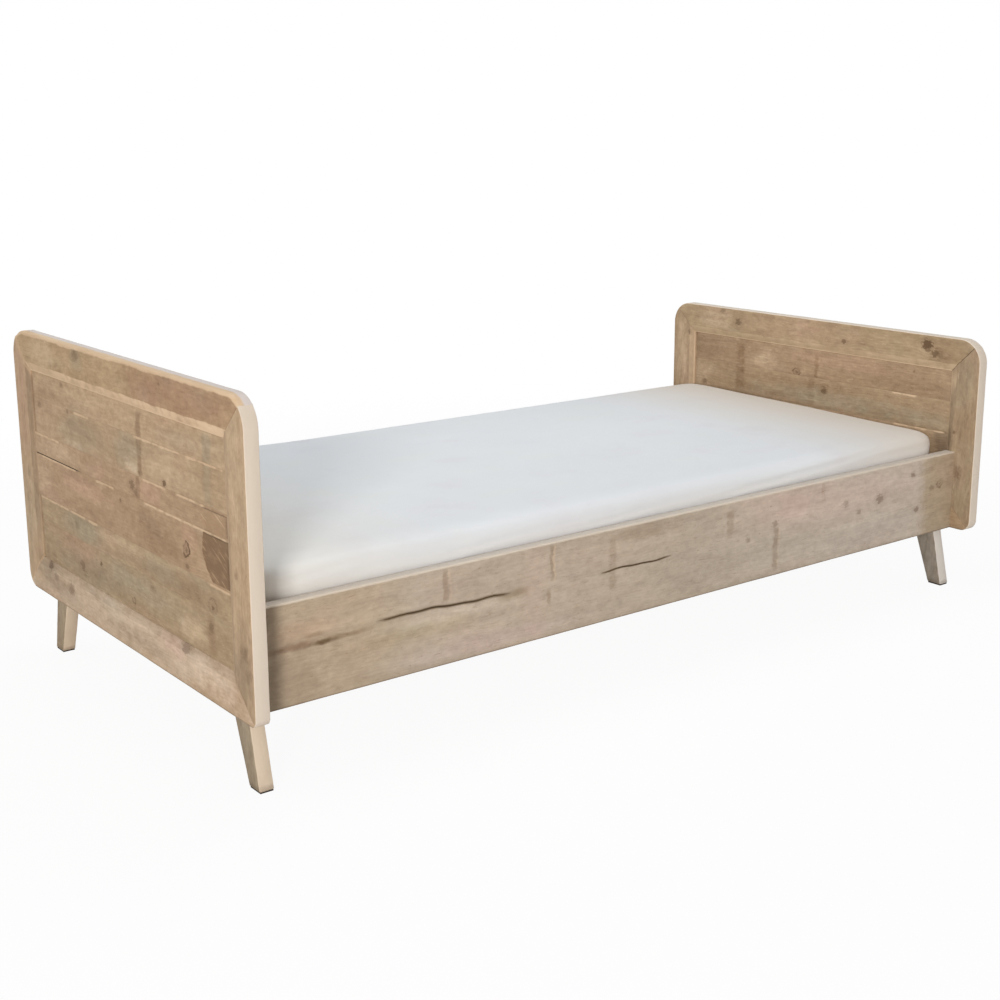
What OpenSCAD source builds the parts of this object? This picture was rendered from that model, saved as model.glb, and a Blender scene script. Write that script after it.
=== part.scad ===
// Single bed in reclaimed boards. Two framed end panels stand on four splayed legs,
// two side rails join them, cleats inside the rails carry a roll of slats, and a
// mattress lies on the slats between the rails.
// X runs along the bed with the headboard at -X, Y runs across it with the front
// at -Y, and Z runs up from the floor.

/* [Mattress] */
// Length of the mattress
mattress_l = 2000; // [1800:10:2200]
// Width of the mattress
mattress_w = 900; // [800:10:1200]
// Height of the mattress at its middle
mattress_t = 150; // [120:1:200]
// Rise of the top from its edges to its middle
mattress_crown = 10; // [3:1:20]
// Corner radius of the mattress seen from above
mattress_corner_r = 55; // [40:1:90]
// Rounding along the top edge
mattress_top_r = 28; // [15:1:38]
// Rounding along the bottom edge
mattress_foot_r = 10; // [5:1:15]
// How far the sides are drawn in at half height
mattress_waist = 3; // [1:0.5:8]
// Gap between the mattress and each end panel
mattress_end_gap = 10; // [4:1:30]
// Gap between the mattress and each side rail
mattress_side_gap = 2; // [1:0.5:20]

/* [End panels] */
// Thickness of the frame boards
panel_t = 30; // [27:1:40]
// Height of the headboard panel
head_h = 595; // [540:1:800]
// Height of the footboard panel
foot_h = 488; // [450:1:700]
// Rounding of the upper corners of a panel
panel_corner_r = 60; // [30:1:70]
// Rounding of the lower corners of a panel
panel_low_r = 25; // [10:1:60]
// Width of the mitred frame boards
member_w = 84; // [76:1:95]
// Width of the bevel along the inner edge of the frame
bevel_w = 17; // [8:1:22]
// Height of the panel above the floor
panel_lift = 150; // [100:1:250]

/* [Panel boards] */
// Top board of the headboard
head_board_1 = 58; // [40:1:90]
// Second board of the headboard
head_board_2 = 80; // [50:1:110]
// Third board of the headboard
head_board_3 = 47; // [35:1:80]
// Fourth board of the headboard
head_board_4 = 97; // [60:1:120]
// Fifth board of the headboard, above one that fills what is left
head_board_5 = 56; // [40:1:85]
// Top board of the footboard
foot_board_1 = 78; // [50:1:95]
// Second board of the footboard
foot_board_2 = 82; // [50:1:95]
// Third board of the footboard, above one that fills what is left
foot_board_3 = 82; // [50:1:95]
// How deep the boards lie behind the face of the frame
board_recess = 5; // [2:0.5:7]
// Bevel along the edges of each board
board_bevel = 1.5; // [0.5:0.25:3]
// Length of the worn band at the front end of two headboard boards
band_l = 104; // [60:1:160]
// Bulge of the inner end of the band
band_bulge = 14; // [4:1:30]
// Depth of the worn band
band_depth = 1.2; // [0.4:0.1:2.5]
// Sound wood left along the long edges of the band
band_margin = 4; // [2:0.5:8]

/* [Panel joints] */
// Thickness of every tongue
tongue_t = 8; // [6:0.5:10]
// Depth of the groove in the frame
groove_depth = 12; // [8:0.5:16]
// Depth of the groove between two boards
board_groove = 7; // [5:0.5:10]
// Play beside a tongue
tongue_play = 0.2; // [0.1:0.05:0.4]
// Play at the end of a tongue
tongue_end_play = 0.8; // [0.4:0.1:1.5]
// Length of a loose spline across the mitre
spline_l = 40; // [26:1:44]
// Width of a loose spline along the mitre
spline_w = 34; // [24:1:38]
// Distance of a spline from the two outer edges
spline_inset = 44; // [40:1:50]

/* [Side rails] */
// Height of a side rail
rail_h = 200; // [170:1:260]
// Thickness of a side rail
rail_t = 28; // [26:1:36]
// Bevel along the edges of a side rail
rail_bevel = 2; // [0.5:0.5:4]
// How far an end panel reaches past the outer face of a rail
panel_reach = 57; // [52:1:90]
// Height of the top of a cleat above the bottom of the rail
cleat_top = 98; // [94:1:120]
// Height of a cleat
cleat_h = 40; // [30:1:50]
// Thickness of a cleat
cleat_t = 28; // [22:1:40]
// Gap between a cleat and the leg beside it
cleat_end_gap = 2; // [0.5:0.5:10]

/* [Legs] */
// Thickness of a leg along the bed
leg_t = 30; // [28:1:40]
// Width of a leg where it is fixed
leg_w = 62; // [56:1:80]
// Width of a leg at the floor
foot_w = 40; // [30:1:56]
// How far the foot leans out past the fixed part
foot_splay = 33; // [0:1:45]
// Height of the fixed part inside the corner
leg_post_h = 93; // [92:1:94]
// Thickness of the pad under a leg
pad_t = 3; // [2:0.5:6]
// How far the pad stays inside the edge of the leg
pad_inset = 1.5; // [0.5:0.5:4]

/* [Slats] */
// Number of slats
slat_count = 14; // [10:1:15]
// Width of a slat
slat_w = 70; // [50:1:90]
// Thickness of a slat
slat_t = 18; // [14:1:24]
// Rounding of the long edges of a slat
slat_edge_r = 3; // [1:0.5:6]
// Gap between the end of a slat and the rail
slat_side_gap = 4; // [1:0.5:10]
// Gap between the outermost slat and the end panel
slat_end_gap = 40; // [34:1:80]
// Width of a tape under the slats
tape_w = 25; // [15:1:40]
// Thickness of a tape
tape_t = 1.5; // [1:0.5:3]
// Distance of a tape from the ends of the slats
tape_inset = 110; // [70:1:250]
// Clearance under the mattress
mattress_clearance = 0.3; // [0.3:0.1:1]

/* [Fixings] */
// Diameter of the dowels in the rail ends
dowel_d = 10; // [6:1:10]
// Length of a dowel inside the end panel
dowel_in_panel = 15; // [10:1:18]
// Length of a dowel inside the rail
dowel_in_rail = 30; // [20:1:40]
// Height of the lower dowel above the bottom of the rail
dowel_low = 20; // [12:1:22]
// Height of the upper dowel above the bottom of the rail
dowel_high = 57; // [56:1:62]
// Diameter of the coach screws
coach_d = 8; // [6:1:8]
// Distance across the flats of a coach screw head
coach_head_af = 13; // [10:1:14]
// Height of a coach screw head
coach_head_h = 5.5; // [4:0.5:7]
// Length of a coach screw in the wood behind the leg
coach_bite = 20; // [12:1:22]
// Height of the coach screws into the end panel
panel_screw_z = 30; // [29:1:31]
// Distance between the coach screws into the end panel
panel_screw_pitch = 30; // [24:1:34]
// Height of the lower coach screw into the rail
rail_screw_low = 42; // [41:1:43]
// Height of the upper coach screw into the rail
rail_screw_high = 80; // [74:1:81]
// Diameter of a washer
washer_d = 22; // [16:1:22]
// Thickness of a washer
washer_t = 1.6; // [1:0.2:2]
// Number of screws in a cleat
cleat_screw_count = 6; // [3:1:10]
// Diameter of a cleat screw
cleat_screw_d = 5; // [4:0.5:6]
// Diameter of a cleat screw's head
cleat_head_d = 10; // [8:0.5:12]
// Length of a cleat screw in the rail
cleat_screw_bite = 18; // [12:1:22]
// Distance of the outermost screws from the ends of a cleat
cleat_screw_inset = 80; // [40:1:200]
// Play round every pin and screw
hole_play = 0.1; // [0.05:0.05:0.2]

/* [Hidden] */
// Clear space between the end panels and between the side rails
inner_l = mattress_l + 2 * mattress_end_gap;
inner_w = mattress_w + 2 * mattress_side_gap;
rail_in = inner_w / 2;
rail_out = rail_in + rail_t;
panel_w = 2 * (rail_out + panel_reach);
panel_x = inner_l / 2;

// The boards that fill each end panel, from the top down; the last takes the rest
head_upper = [head_board_1, head_board_2, head_board_3, head_board_4, head_board_5];
foot_upper = [foot_board_1, foot_board_2, foot_board_3];
function total(list, n) = n == 0 ? 0 : list[n - 1] + total(list, n - 1);
function all_boards(upper, h) =
    concat(upper, [h - 2 * member_w - total(upper, len(upper))]);
head_boards = all_boards(head_upper, head_h);
foot_boards = all_boards(foot_upper, foot_h);
worn_boards = [3, 4];

// Faces of the boards and of their tongues through the thickness of a panel
board_back = board_recess;
board_face = panel_t - board_recess;
tongue_back = (panel_t - tongue_t) / 2;
tongue_face = (panel_t + tongue_t) / 2;
frame_tongue = groove_depth - tongue_end_play;
board_tongue = board_groove - tongue_end_play;

// Heights above the floor
cleat_z = panel_lift + cleat_top;
slat_top_z = cleat_z + slat_t;
mattress_z = slat_top_z + mattress_clearance;

// Places of the slats, tapes and cleat screws
slat_l = inner_w - 2 * slat_side_gap;
slat_first_x = -panel_x + slat_end_gap + slat_w / 2;
slat_pitch = -2 * slat_first_x / (slat_count - 1);
tape_y = slat_l / 2 - tape_inset - tape_w / 2;
cleat_l = inner_l - 2 * (leg_t + cleat_end_gap);
cleat_screw_pitch = (cleat_l - 2 * cleat_screw_inset) / (cleat_screw_count - 1);
cleat_sink = (cleat_head_d - cleat_screw_d) / 2;
leg_mid_y = rail_in - leg_w / 2;
coach_shank = leg_t + coach_bite + washer_t;
coach_shank_rail = leg_w + coach_bite + washer_t;

// Smoothness of the round parts
$fn = 48;

// Placing. An end panel is drawn flat: X across the bed, Y up, Z through its
// thickness from the outer face to the face that looks at the mattress.

module stand_up() {
    translate([-panel_x - panel_t, 0, panel_lift])
        rotate([90, 0, 90])
            children();
}

module at_head() {
    stand_up()
        children();
}

module at_foot() {
    mirror([1, 0, 0])
        stand_up()
            children();
}

// What is drawn at the head end and the front side, moved to another corner
module at_corner(foot, back) {
    if (foot && back)
        rotate([0, 0, 180]) children();
    else if (foot)
        mirror([1, 0, 0]) children();
    else if (back)
        mirror([0, 1, 0]) children();
    else
        children();
}

module at_all_corners() {
    for (foot = [false, true])
        for (back = [false, true])
            at_corner(foot, back)
                children();
}

// Runs a profile drawn in Y and Z along X
module along_x(length) {
    translate([-length / 2, 0, 0])
        rotate([90, 0, 90])
            linear_extrude(length)
                children();
}

// The frame of an end panel

module panel_outline(h) {
    upper = panel_w / 2 - panel_corner_r;
    lower = panel_w / 2 - panel_low_r;
    translate([-panel_w / 2, panel_low_r])
        square([panel_w, h - panel_corner_r - panel_low_r]);
    translate([-upper, h / 2])
        square([2 * upper, h / 2]);
    translate([-lower, 0])
        square([2 * lower, h / 2]);
    for (side = [-1, 1]) {
        translate([side * upper, h - panel_corner_r])
            circle(panel_corner_r, $fn = 96);
        translate([side * lower, panel_low_r])
            circle(panel_low_r, $fn = 96);
    }
}

// Section of a frame board: Y from the outer edge inwards, Z through the panel
module member_profile() {
    groove_back = tongue_back - tongue_play;
    groove_face = tongue_face + tongue_play;
    polygon([
        [0, 0],
        [member_w - bevel_w, 0],
        [member_w, board_back],
        [member_w, groove_back],
        [member_w - groove_depth, groove_back],
        [member_w - groove_depth, groove_face],
        [member_w, groove_face],
        [member_w, board_face],
        [member_w - bevel_w, panel_t],
        [0, panel_t]
    ]);
}

// A frame board along the lower edge, cut at 45 degrees at both ends
module mitred_board(span) {
    intersection() {
        along_x(span)
            member_profile();
        linear_extrude(panel_t)
            polygon([
                [-span / 2, 0],
                [span / 2, 0],
                [span / 2 - member_w, member_w],
                [-span / 2 + member_w, member_w]
            ]);
    }
}

// Sides of a frame, counted from the lower edge towards the back stile
module to_side(side, h) {
    if (side == "bottom")
        children();
    if (side == "top")
        translate([0, h, 0]) rotate([0, 0, 180]) children();
    if (side == "back")
        translate([panel_w / 2, h / 2, 0]) rotate([0, 0, 90]) children();
    if (side == "front")
        translate([-panel_w / 2, h / 2, 0]) rotate([0, 0, -90]) children();
}

// Loose splines that lock the four mitres; grow opens them into their slots
module splines(h, grow) {
    for (x = [-1, 1])
        for (y = [-1, 1])
            translate([
                x * (panel_w / 2 - spline_inset),
                h / 2 + y * (h / 2 - spline_inset),
                panel_t / 2
            ])
                rotate([0, 0, 45 * x * y])
                    cube([spline_w, spline_l, tongue_t] + 2 * grow * [1, 1, 1], center = true);
}

// A rail end meets the panel over these two dowels on each side
module dowel_holes() {
    for (x = [-1, 1])
        for (y = [dowel_low, dowel_high])
            translate([x * (rail_in + rail_t / 2), y, panel_t - dowel_in_panel - tongue_end_play])
                cylinder(h = panel_t, d = dowel_d + 2 * hole_play);
}

module panel_screw_holes() {
    for (x = [-1, 1])
        for (step = [-0.5, 0.5])
            translate([
                x * leg_mid_y + step * panel_screw_pitch,
                panel_screw_z,
                panel_t - coach_bite - tongue_end_play
            ])
                cylinder(h = panel_t, d = coach_d + 2 * hole_play);
}

module frame_board(side, h) {
    span = side == "top" || side == "bottom" ? panel_w : h;
    difference() {
        intersection() {
            to_side(side, h)
                mitred_board(span);
            linear_extrude(panel_t)
                panel_outline(h);
        }
        splines(h, tongue_play);
        if (side == "bottom") {
            dowel_holes();
            panel_screw_holes();
        }
    }
}

// The boards that fill the frame

// Section of a board: a tongue below, and a groove or the top tongue above
module board_profile(w, is_top, is_bottom) {
    low = is_bottom ? -frame_tongue : -board_tongue;
    groove_back = tongue_back - tongue_play;
    groove_face = tongue_face + tongue_play;
    upper = is_top
        ? [
            [w, tongue_back],
            [w + frame_tongue, tongue_back],
            [w + frame_tongue, tongue_face],
            [w, tongue_face]
        ]
        : [
            [w, groove_back],
            [w - board_groove, groove_back],
            [w - board_groove, groove_face],
            [w, groove_face]
        ];
    polygon(concat(
        [
            [board_bevel, board_back],
            [w - board_bevel, board_back],
            [w, board_back + board_bevel]
        ],
        upper,
        [
            [w, board_face - board_bevel],
            [w - board_bevel, board_face],
            [board_bevel, board_face],
            [0, board_face - board_bevel],
            [0, tongue_face],
            [low, tongue_face],
            [low, tongue_back],
            [0, tongue_back],
            [0, board_back + board_bevel]
        ]
    ));
}

// The tongue that runs on past both ends of a board into the stiles
module end_tongues(w, is_top, is_bottom) {
    low = is_bottom ? -frame_tongue : -board_tongue;
    high = is_top ? w + frame_tongue : w - board_groove;
    translate([0, (low + high) / 2, panel_t / 2])
        cube([panel_w - 2 * member_w + 2 * frame_tongue, high - low, tongue_t], center = true);
}

// Shallow band at the front end of a board, worn by the strap it once carried
module worn_band(w) {
    face_l = panel_w - 2 * member_w;
    band_h = w - 2 * band_margin;
    bulge_r = (band_h * band_h / 4 + band_bulge * band_bulge) / (2 * band_bulge);
    translate([-face_l / 2 + band_l, w / 2, board_back - 1]) {
        translate([-band_l - 1, -band_h / 2, 0])
            cube([band_l - band_bulge + 1, band_h, 1 + band_depth]);
        intersection() {
            translate([-bulge_r, 0, 0])
                cylinder(h = 1 + band_depth, r = bulge_r, $fn = 96);
            translate([-band_l / 2, -band_h / 2, 0])
                cube([band_l / 2, band_h, 1 + band_depth]);
        }
    }
}

module filling_board(boards, h, i) {
    w = boards[i - 1];
    is_top = i == 1;
    is_bottom = i == len(boards);
    base = h - member_w - total(boards, i);
    translate([0, base, 0]) {
        along_x(panel_w - 2 * member_w)
            board_profile(w, is_top, is_bottom);
        end_tongues(w, is_top, is_bottom);
    }
}

// A board of the headboard, two of them with the worn band on the outer face
module head_board(i) {
    base = head_h - member_w - total(head_boards, i);
    worn = len([for (k = worn_boards) if (k == i) k]) > 0;
    color(i % 2 == 0 ? [0.66, 0.56, 0.44] : [0.69, 0.59, 0.47])
        at_head()
            difference() {
                filling_board(head_boards, head_h, i);
                if (worn)
                    translate([0, base, 0])
                        worn_band(head_boards[i - 1]);
            }
}

module foot_board(i) {
    color(i % 2 == 0 ? [0.66, 0.55, 0.42] : [0.70, 0.58, 0.45])
        at_foot()
            filling_board(foot_boards, foot_h, i);
}

module head_frame(side) {
    color([0.71, 0.61, 0.49])
        at_head()
            frame_board(side, head_h);
}

module foot_frame(side) {
    color([0.72, 0.60, 0.46])
        at_foot()
            frame_board(side, foot_h);
}

module head_splines() {
    color([0.80, 0.68, 0.50])
        at_head()
            splines(head_h, 0);
}

module foot_splines() {
    color([0.80, 0.68, 0.50])
        at_foot()
            splines(foot_h, 0);
}

// Side rails and cleats, drawn at the front

module rail_profile() {
    b = rail_bevel;
    translate([-rail_out, panel_lift])
        polygon([
            [b, 0],
            [rail_t - b, 0],
            [rail_t, b],
            [rail_t, rail_h - b],
            [rail_t - b, rail_h],
            [b, rail_h],
            [0, rail_h - b],
            [0, b]
        ]);
}

// Dowels through the joint between a rail end and the panel
module corner_dowels(grow) {
    for (z = [dowel_low, dowel_high])
        translate([
            -panel_x - dowel_in_panel - 4 * grow,
            -rail_in - rail_t / 2,
            panel_lift + z
        ])
            rotate([0, 90, 0])
                cylinder(h = dowel_in_panel + dowel_in_rail + 8 * grow, d = dowel_d + 2 * grow);
}

// Coach screws through the leg into the rail
module corner_rail_screws(grow) {
    for (z = [rail_screw_low, rail_screw_high])
        translate([-panel_x + leg_t / 2, -rail_in + leg_w + washer_t, panel_lift + z])
            rotate([90, 0, 0]) {
                cylinder(h = coach_shank_rail + 8 * grow, d = coach_d + 2 * grow);
                translate([0, 0, -coach_head_h])
                    coach_head();
            }
}

// Coach screws through the leg into the end panel
module corner_panel_screws(grow) {
    for (step = [-0.5, 0.5])
        translate([
            -panel_x + leg_t + washer_t,
            -leg_mid_y + step * panel_screw_pitch,
            panel_lift + panel_screw_z
        ])
            rotate([0, -90, 0]) {
                cylinder(h = coach_shank + 8 * grow, d = coach_d + 2 * grow);
                translate([0, 0, -coach_head_h])
                    coach_head();
            }
}

module coach_head() {
    cylinder(h = coach_head_h, d = coach_head_af / cos(30), $fn = 6);
}

module washer() {
    difference() {
        cylinder(h = washer_t, d = washer_d);
        translate([0, 0, -1])
            cylinder(h = washer_t + 2, d = coach_d + 2 * hole_play);
    }
}

module corner_washers() {
    for (z = [rail_screw_low, rail_screw_high])
        translate([-panel_x + leg_t / 2, -rail_in + leg_w + washer_t, panel_lift + z])
            rotate([90, 0, 0])
                washer();
    for (step = [-0.5, 0.5])
        translate([
            -panel_x + leg_t + washer_t,
            -leg_mid_y + step * panel_screw_pitch,
            panel_lift + panel_screw_z
        ])
            rotate([0, -90, 0])
                washer();
}

// Countersunk screws from the cleat into the rail
module front_cleat_screws(grow) {
    for (i = [0:cleat_screw_count - 1])
        translate([
            -cleat_l / 2 + cleat_screw_inset + i * cleat_screw_pitch,
            -rail_in + cleat_t,
            cleat_z - cleat_h / 2
        ])
            rotate([90, 0, 0]) {
                cylinder(
                    h = cleat_t + cleat_screw_bite + 4 * grow,
                    d = cleat_screw_d + 2 * grow
                );
                cylinder(h = cleat_sink, d1 = cleat_head_d, d2 = cleat_screw_d);
            }
}

module front_rail() {
    difference() {
        along_x(inner_l)
            rail_profile();
        for (foot = [false, true])
            at_corner(foot, false) {
                corner_dowels(hole_play);
                corner_rail_screws(hole_play);
            }
        front_cleat_screws(hole_play);
    }
}

module side_rail(back) {
    color([0.68, 0.58, 0.48])
        at_corner(false, back)
            front_rail();
}

module cleat(back) {
    color([0.76, 0.66, 0.50])
        at_corner(false, back)
            difference() {
                translate([-cleat_l / 2, -rail_in, cleat_z - cleat_h])
                    cube([cleat_l, cleat_t, cleat_h]);
                front_cleat_screws(hole_play);
            }
}

module cleat_screws() {
    color([0.75, 0.70, 0.50])
        for (back = [false, true])
            at_corner(false, back)
                front_cleat_screws(0);
}

module rail_dowels() {
    color([0.82, 0.70, 0.52])
        at_all_corners()
            corner_dowels(0);
}

// Legs, drawn at the head end and the front side

// A leg is a board cut to a taper: upright inside the corner, splayed below it
module leg_profile() {
    post_top = panel_lift + leg_post_h;
    polygon([
        [-rail_in - foot_splay, pad_t],
        [-rail_in - foot_splay + foot_w, pad_t],
        [-rail_in + leg_w, panel_lift],
        [-rail_in + leg_w, post_top],
        [-rail_in, post_top],
        [-rail_in, panel_lift]
    ]);
}

module leg(foot, back) {
    color([0.74, 0.64, 0.52])
        at_corner(foot, back)
            difference() {
                translate([-panel_x + leg_t / 2, 0, 0])
                    along_x(leg_t)
                        leg_profile();
                corner_rail_screws(hole_play);
                corner_panel_screws(hole_play);
            }
}

module pad(foot, back) {
    color([0.20, 0.18, 0.16])
        at_corner(foot, back)
            translate([-panel_x + pad_inset, -rail_in - foot_splay + pad_inset, 0])
                cube([leg_t - 2 * pad_inset, foot_w - 2 * pad_inset, pad_t]);
}

module panel_coach_screws() {
    color([0.72, 0.72, 0.70])
        at_all_corners()
            corner_panel_screws(0);
}

module rail_coach_screws() {
    color([0.72, 0.72, 0.70])
        at_all_corners()
            corner_rail_screws(0);
}

module coach_washers() {
    color([0.78, 0.78, 0.76])
        at_all_corners()
            corner_washers();
}

// The slatted base

// Section of a slat: flat faces and rounded long edges
module slat_profile() {
    w = slat_w - 2 * slat_edge_r;
    h = slat_t - 2 * slat_edge_r;
    translate([-w / 2, 0])
        square([w, slat_t]);
    translate([-slat_w / 2, slat_edge_r])
        square([slat_w, h]);
    for (x = [-w / 2, w / 2])
        for (y = [slat_edge_r, slat_t - slat_edge_r])
            translate([x, y])
                circle(slat_edge_r, $fn = 24);
}

module slat(i) {
    color([0.86, 0.76, 0.58])
        translate([slat_first_x + (i - 1) * slat_pitch, slat_l / 2, cleat_z])
            rotate([90, 0, 0])
                linear_extrude(slat_l)
                    slat_profile();
}

module slat_tape(back) {
    tape_l = -2 * slat_first_x + slat_w;
    color([0.88, 0.86, 0.80])
        at_corner(false, back)
            translate([-tape_l / 2, -tape_y - tape_w / 2, cleat_z - tape_t])
                cube([tape_l, tape_w, tape_t]);
}

// The mattress

// Points of a rounded rectangle, anticlockwise, with extra points on the long sides
corner_steps = 6;
long_steps = 8;
short_steps = 4;
function span_points(from, to, steps) =
    [for (k = [1:steps - 1]) from + (to - from) * k / steps];
function corner_points(c, r, start) =
    [for (k = [0:corner_steps])
        c + r * [cos(start + 90 * k / corner_steps), sin(start + 90 * k / corner_steps)]];
function ring_2d(a, b, r) =
    let (
        ne = corner_points([a - r, b - r], r, 0),
        nw = corner_points([r - a, b - r], r, 90),
        sw = corner_points([r - a, r - b], r, 180),
        se = corner_points([a - r, r - b], r, 270),
        n = corner_steps
    )
    concat(
        ne, span_points(ne[n], nw[0], long_steps),
        nw, span_points(nw[n], sw[0], short_steps),
        sw, span_points(sw[n], se[0], long_steps),
        se, span_points(se[n], ne[0], short_steps)
    );

// A ring at height z, drawn in by the inset all round
function inset_ring(inset, z) =
    [for (p = ring_2d(
        mattress_l / 2 - inset,
        mattress_w / 2 - inset,
        mattress_corner_r - inset
    )) [p[0], p[1], z]];

// A ring on the top, shrunk towards the middle and raised by the crown
edge_z = mattress_t - mattress_crown;
function top_ring(f) =
    [for (p = inset_ring(mattress_top_r, edge_z))
        [p[0] * (1 - f), p[1] * (1 - f), edge_z + mattress_crown * (1 - pow(1 - f, 2))]];

side_low = mattress_foot_r;
side_high = edge_z - mattress_top_r;
mattress_rings = concat(
    [for (a = [0:30:60])
        inset_ring(mattress_foot_r * (1 - sin(a)), mattress_foot_r * (1 - cos(a)))],
    [for (f = [0:0.25:1])
        inset_ring(mattress_waist * sin(180 * f), side_low + f * (side_high - side_low))],
    [for (a = [20:17.5:90])
        inset_ring(mattress_top_r * (1 - cos(a)), side_high + mattress_top_r * sin(a))],
    [for (f = [0.1, 0.25, 0.45, 0.65, 0.85])
        top_ring(f)]
);

module mattress_body() {
    n = len(mattress_rings[0]);
    last = len(mattress_rings) - 1;
    low_middle = n * (last + 1);
    top_middle = low_middle + 1;
    points = concat(
        [for (ring = mattress_rings) for (p = ring) p],
        [[0, 0, 0], [0, 0, mattress_t]]
    );
    walls = [for (r = [0:last - 1]) for (k = [0:n - 1])
        let (a = r * n + k, b = r * n + (k + 1) % n)
        for (face = [[a, a + n, b + n], [a, b + n, b]]) face];
    under = [for (k = [0:n - 1]) [low_middle, k, (k + 1) % n]];
    over = [for (k = [0:n - 1]) [top_middle, last * n + (k + 1) % n, last * n + k]];
    polyhedron(points = points, faces = concat(walls, under, over));
}

module mattress() {
    color([0.86, 0.85, 0.84])
        translate([0, 0, mattress_z])
            mattress_body();
}

head_frame("top");  // head_top_rail
head_frame("bottom");  // head_bottom_rail
head_frame("front");  // head_stile_front
head_frame("back");  // head_stile_back
for (i = [1:len(head_boards)])
    head_board(i);
head_splines();  // head_mitre_splines
foot_frame("top");  // foot_top_rail
foot_frame("bottom");  // foot_bottom_rail
foot_frame("front");  // foot_stile_front
foot_frame("back");  // foot_stile_back
for (i = [1:len(foot_boards)])
    foot_board(i);
foot_splines();  // foot_mitre_splines
side_rail(false);  // side_rail_front
side_rail(true);  // side_rail_back
rail_dowels();
cleat(false);  // cleat_front
cleat(true);  // cleat_back
cleat_screws();
leg(false, false);  // leg_head_front
leg(false, true);  // leg_head_back
leg(true, false);  // leg_foot_front
leg(true, true);  // leg_foot_back
pad(false, false);  // pad_head_front
pad(false, true);  // pad_head_back
pad(true, false);  // pad_foot_front
pad(true, true);  // pad_foot_back
panel_coach_screws();
rail_coach_screws();
coach_washers();
for (i = [1:slat_count])
    slat(i);
slat_tape(false);  // slat_tape_front
slat_tape(true);  // slat_tape_back
mattress();
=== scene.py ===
# A single bed of reclaimed softwood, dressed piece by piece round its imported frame.
from math import atan2, ceil, copysign, cos, exp, hypot, pi, radians, sin, sqrt
import bmesh
import bpy
from mathutils import Matrix, Vector, noise
from mathutils.bvhtree import BVHTree


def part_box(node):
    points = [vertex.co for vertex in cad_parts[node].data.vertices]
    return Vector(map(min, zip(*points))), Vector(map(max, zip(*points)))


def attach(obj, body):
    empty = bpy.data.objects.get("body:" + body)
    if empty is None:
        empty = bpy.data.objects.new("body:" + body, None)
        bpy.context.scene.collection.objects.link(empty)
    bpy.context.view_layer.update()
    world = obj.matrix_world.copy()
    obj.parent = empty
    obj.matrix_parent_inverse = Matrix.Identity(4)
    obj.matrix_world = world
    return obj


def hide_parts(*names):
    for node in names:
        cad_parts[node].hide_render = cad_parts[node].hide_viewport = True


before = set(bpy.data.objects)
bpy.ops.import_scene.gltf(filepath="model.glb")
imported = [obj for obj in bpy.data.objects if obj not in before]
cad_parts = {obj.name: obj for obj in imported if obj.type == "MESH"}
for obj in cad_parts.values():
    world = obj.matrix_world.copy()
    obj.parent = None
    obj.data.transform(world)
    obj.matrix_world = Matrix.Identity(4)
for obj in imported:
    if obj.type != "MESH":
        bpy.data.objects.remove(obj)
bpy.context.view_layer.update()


def put(name, data):
    """A new object with this data, linked into the scene."""
    thing = bpy.data.objects.new(name, data)
    bpy.context.collection.objects.link(thing)
    return thing


# The camera stands off the front corner of the headboard, a little above the bed, and
# looks down its length. Its place, turn and lens are those of the photograph, worked
# out from the corners of the panels.
camera_at = Vector((-2.1975, -2.7321, 1.207))
camera_yaw = radians(36.284)
camera_pitch = radians(13.03)
camera_roll = radians(0.565)
ahead = Vector((sin(camera_yaw) * cos(camera_pitch),
                cos(camera_yaw) * cos(camera_pitch),
                -sin(camera_pitch)))
level_right = Vector((cos(camera_yaw), -sin(camera_yaw), 0))
level_down = ahead.cross(level_right)
right = level_right * cos(camera_roll) + level_down * sin(camera_roll)
down = level_down * cos(camera_roll) - level_right * sin(camera_roll)
turn = Matrix((right, -down, -ahead)).transposed().to_4x4()
camera = put("camera", bpy.data.cameras.new("camera"))
camera.matrix_world = Matrix.Translation(camera_at) @ turn
camera.data.sensor_width = 36
camera.data.lens = 53.94
camera.data.shift_x = 0.038
camera.data.shift_y = -0.0425
camera.data.clip_end = 50
bpy.context.scene.camera = camera
bpy.context.scene.view_settings.view_transform = "Standard"


# Headboard frame: four boards of old scaffold wood, 84 by 30 mm, mitred at the corners
# and glued over loose splines. The faces keep their worn skin. The outer edges and the
# bevel inside the frame are cut fresh, and the top edge is rubbed round.
class Value:
    """A number that varies over a surface; Python's operators add its Math nodes."""

    def __init__(self, finish, socket):
        self.finish = finish
        self.socket = socket

    def math(self, operation, *others):
        return self.finish.node("ShaderNodeMath", {"operation": operation}, [self, *others])

    def __add__(self, other):
        return self.math("ADD", other)

    def __sub__(self, other):
        return self.math("SUBTRACT", other)

    def __mul__(self, other):
        return self.math("MULTIPLY", other)

    def __truediv__(self, other):
        return self.math("DIVIDE", other)

    def __pow__(self, other):
        return self.math("POWER", other)

    def __rsub__(self, other):
        return self.finish.node("ShaderNodeMath", {"operation": "SUBTRACT"}, [other, self])

    def __abs__(self):
        return self.math("ABSOLUTE")

    __radd__ = __add__
    __rmul__ = __mul__

    def least(self, other):
        return self.math("MINIMUM", other)

    def most(self, other):
        return self.math("MAXIMUM", other)

    def rise(self, low, high):
        """0 below low and 1 above high, smooth between; it falls where low is the larger."""
        return self.finish.node("ShaderNodeMapRange", {"interpolation_type": "SMOOTHSTEP"},
                                {"Value": self, "From Min": low, "From Max": high})

    def between(self, low, high, soft):
        """1 from low to high and 0 beyond, soft on both sides of either end."""
        return self.rise(low - soft, low + soft) * self.rise(high + soft, high - soft)


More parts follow.
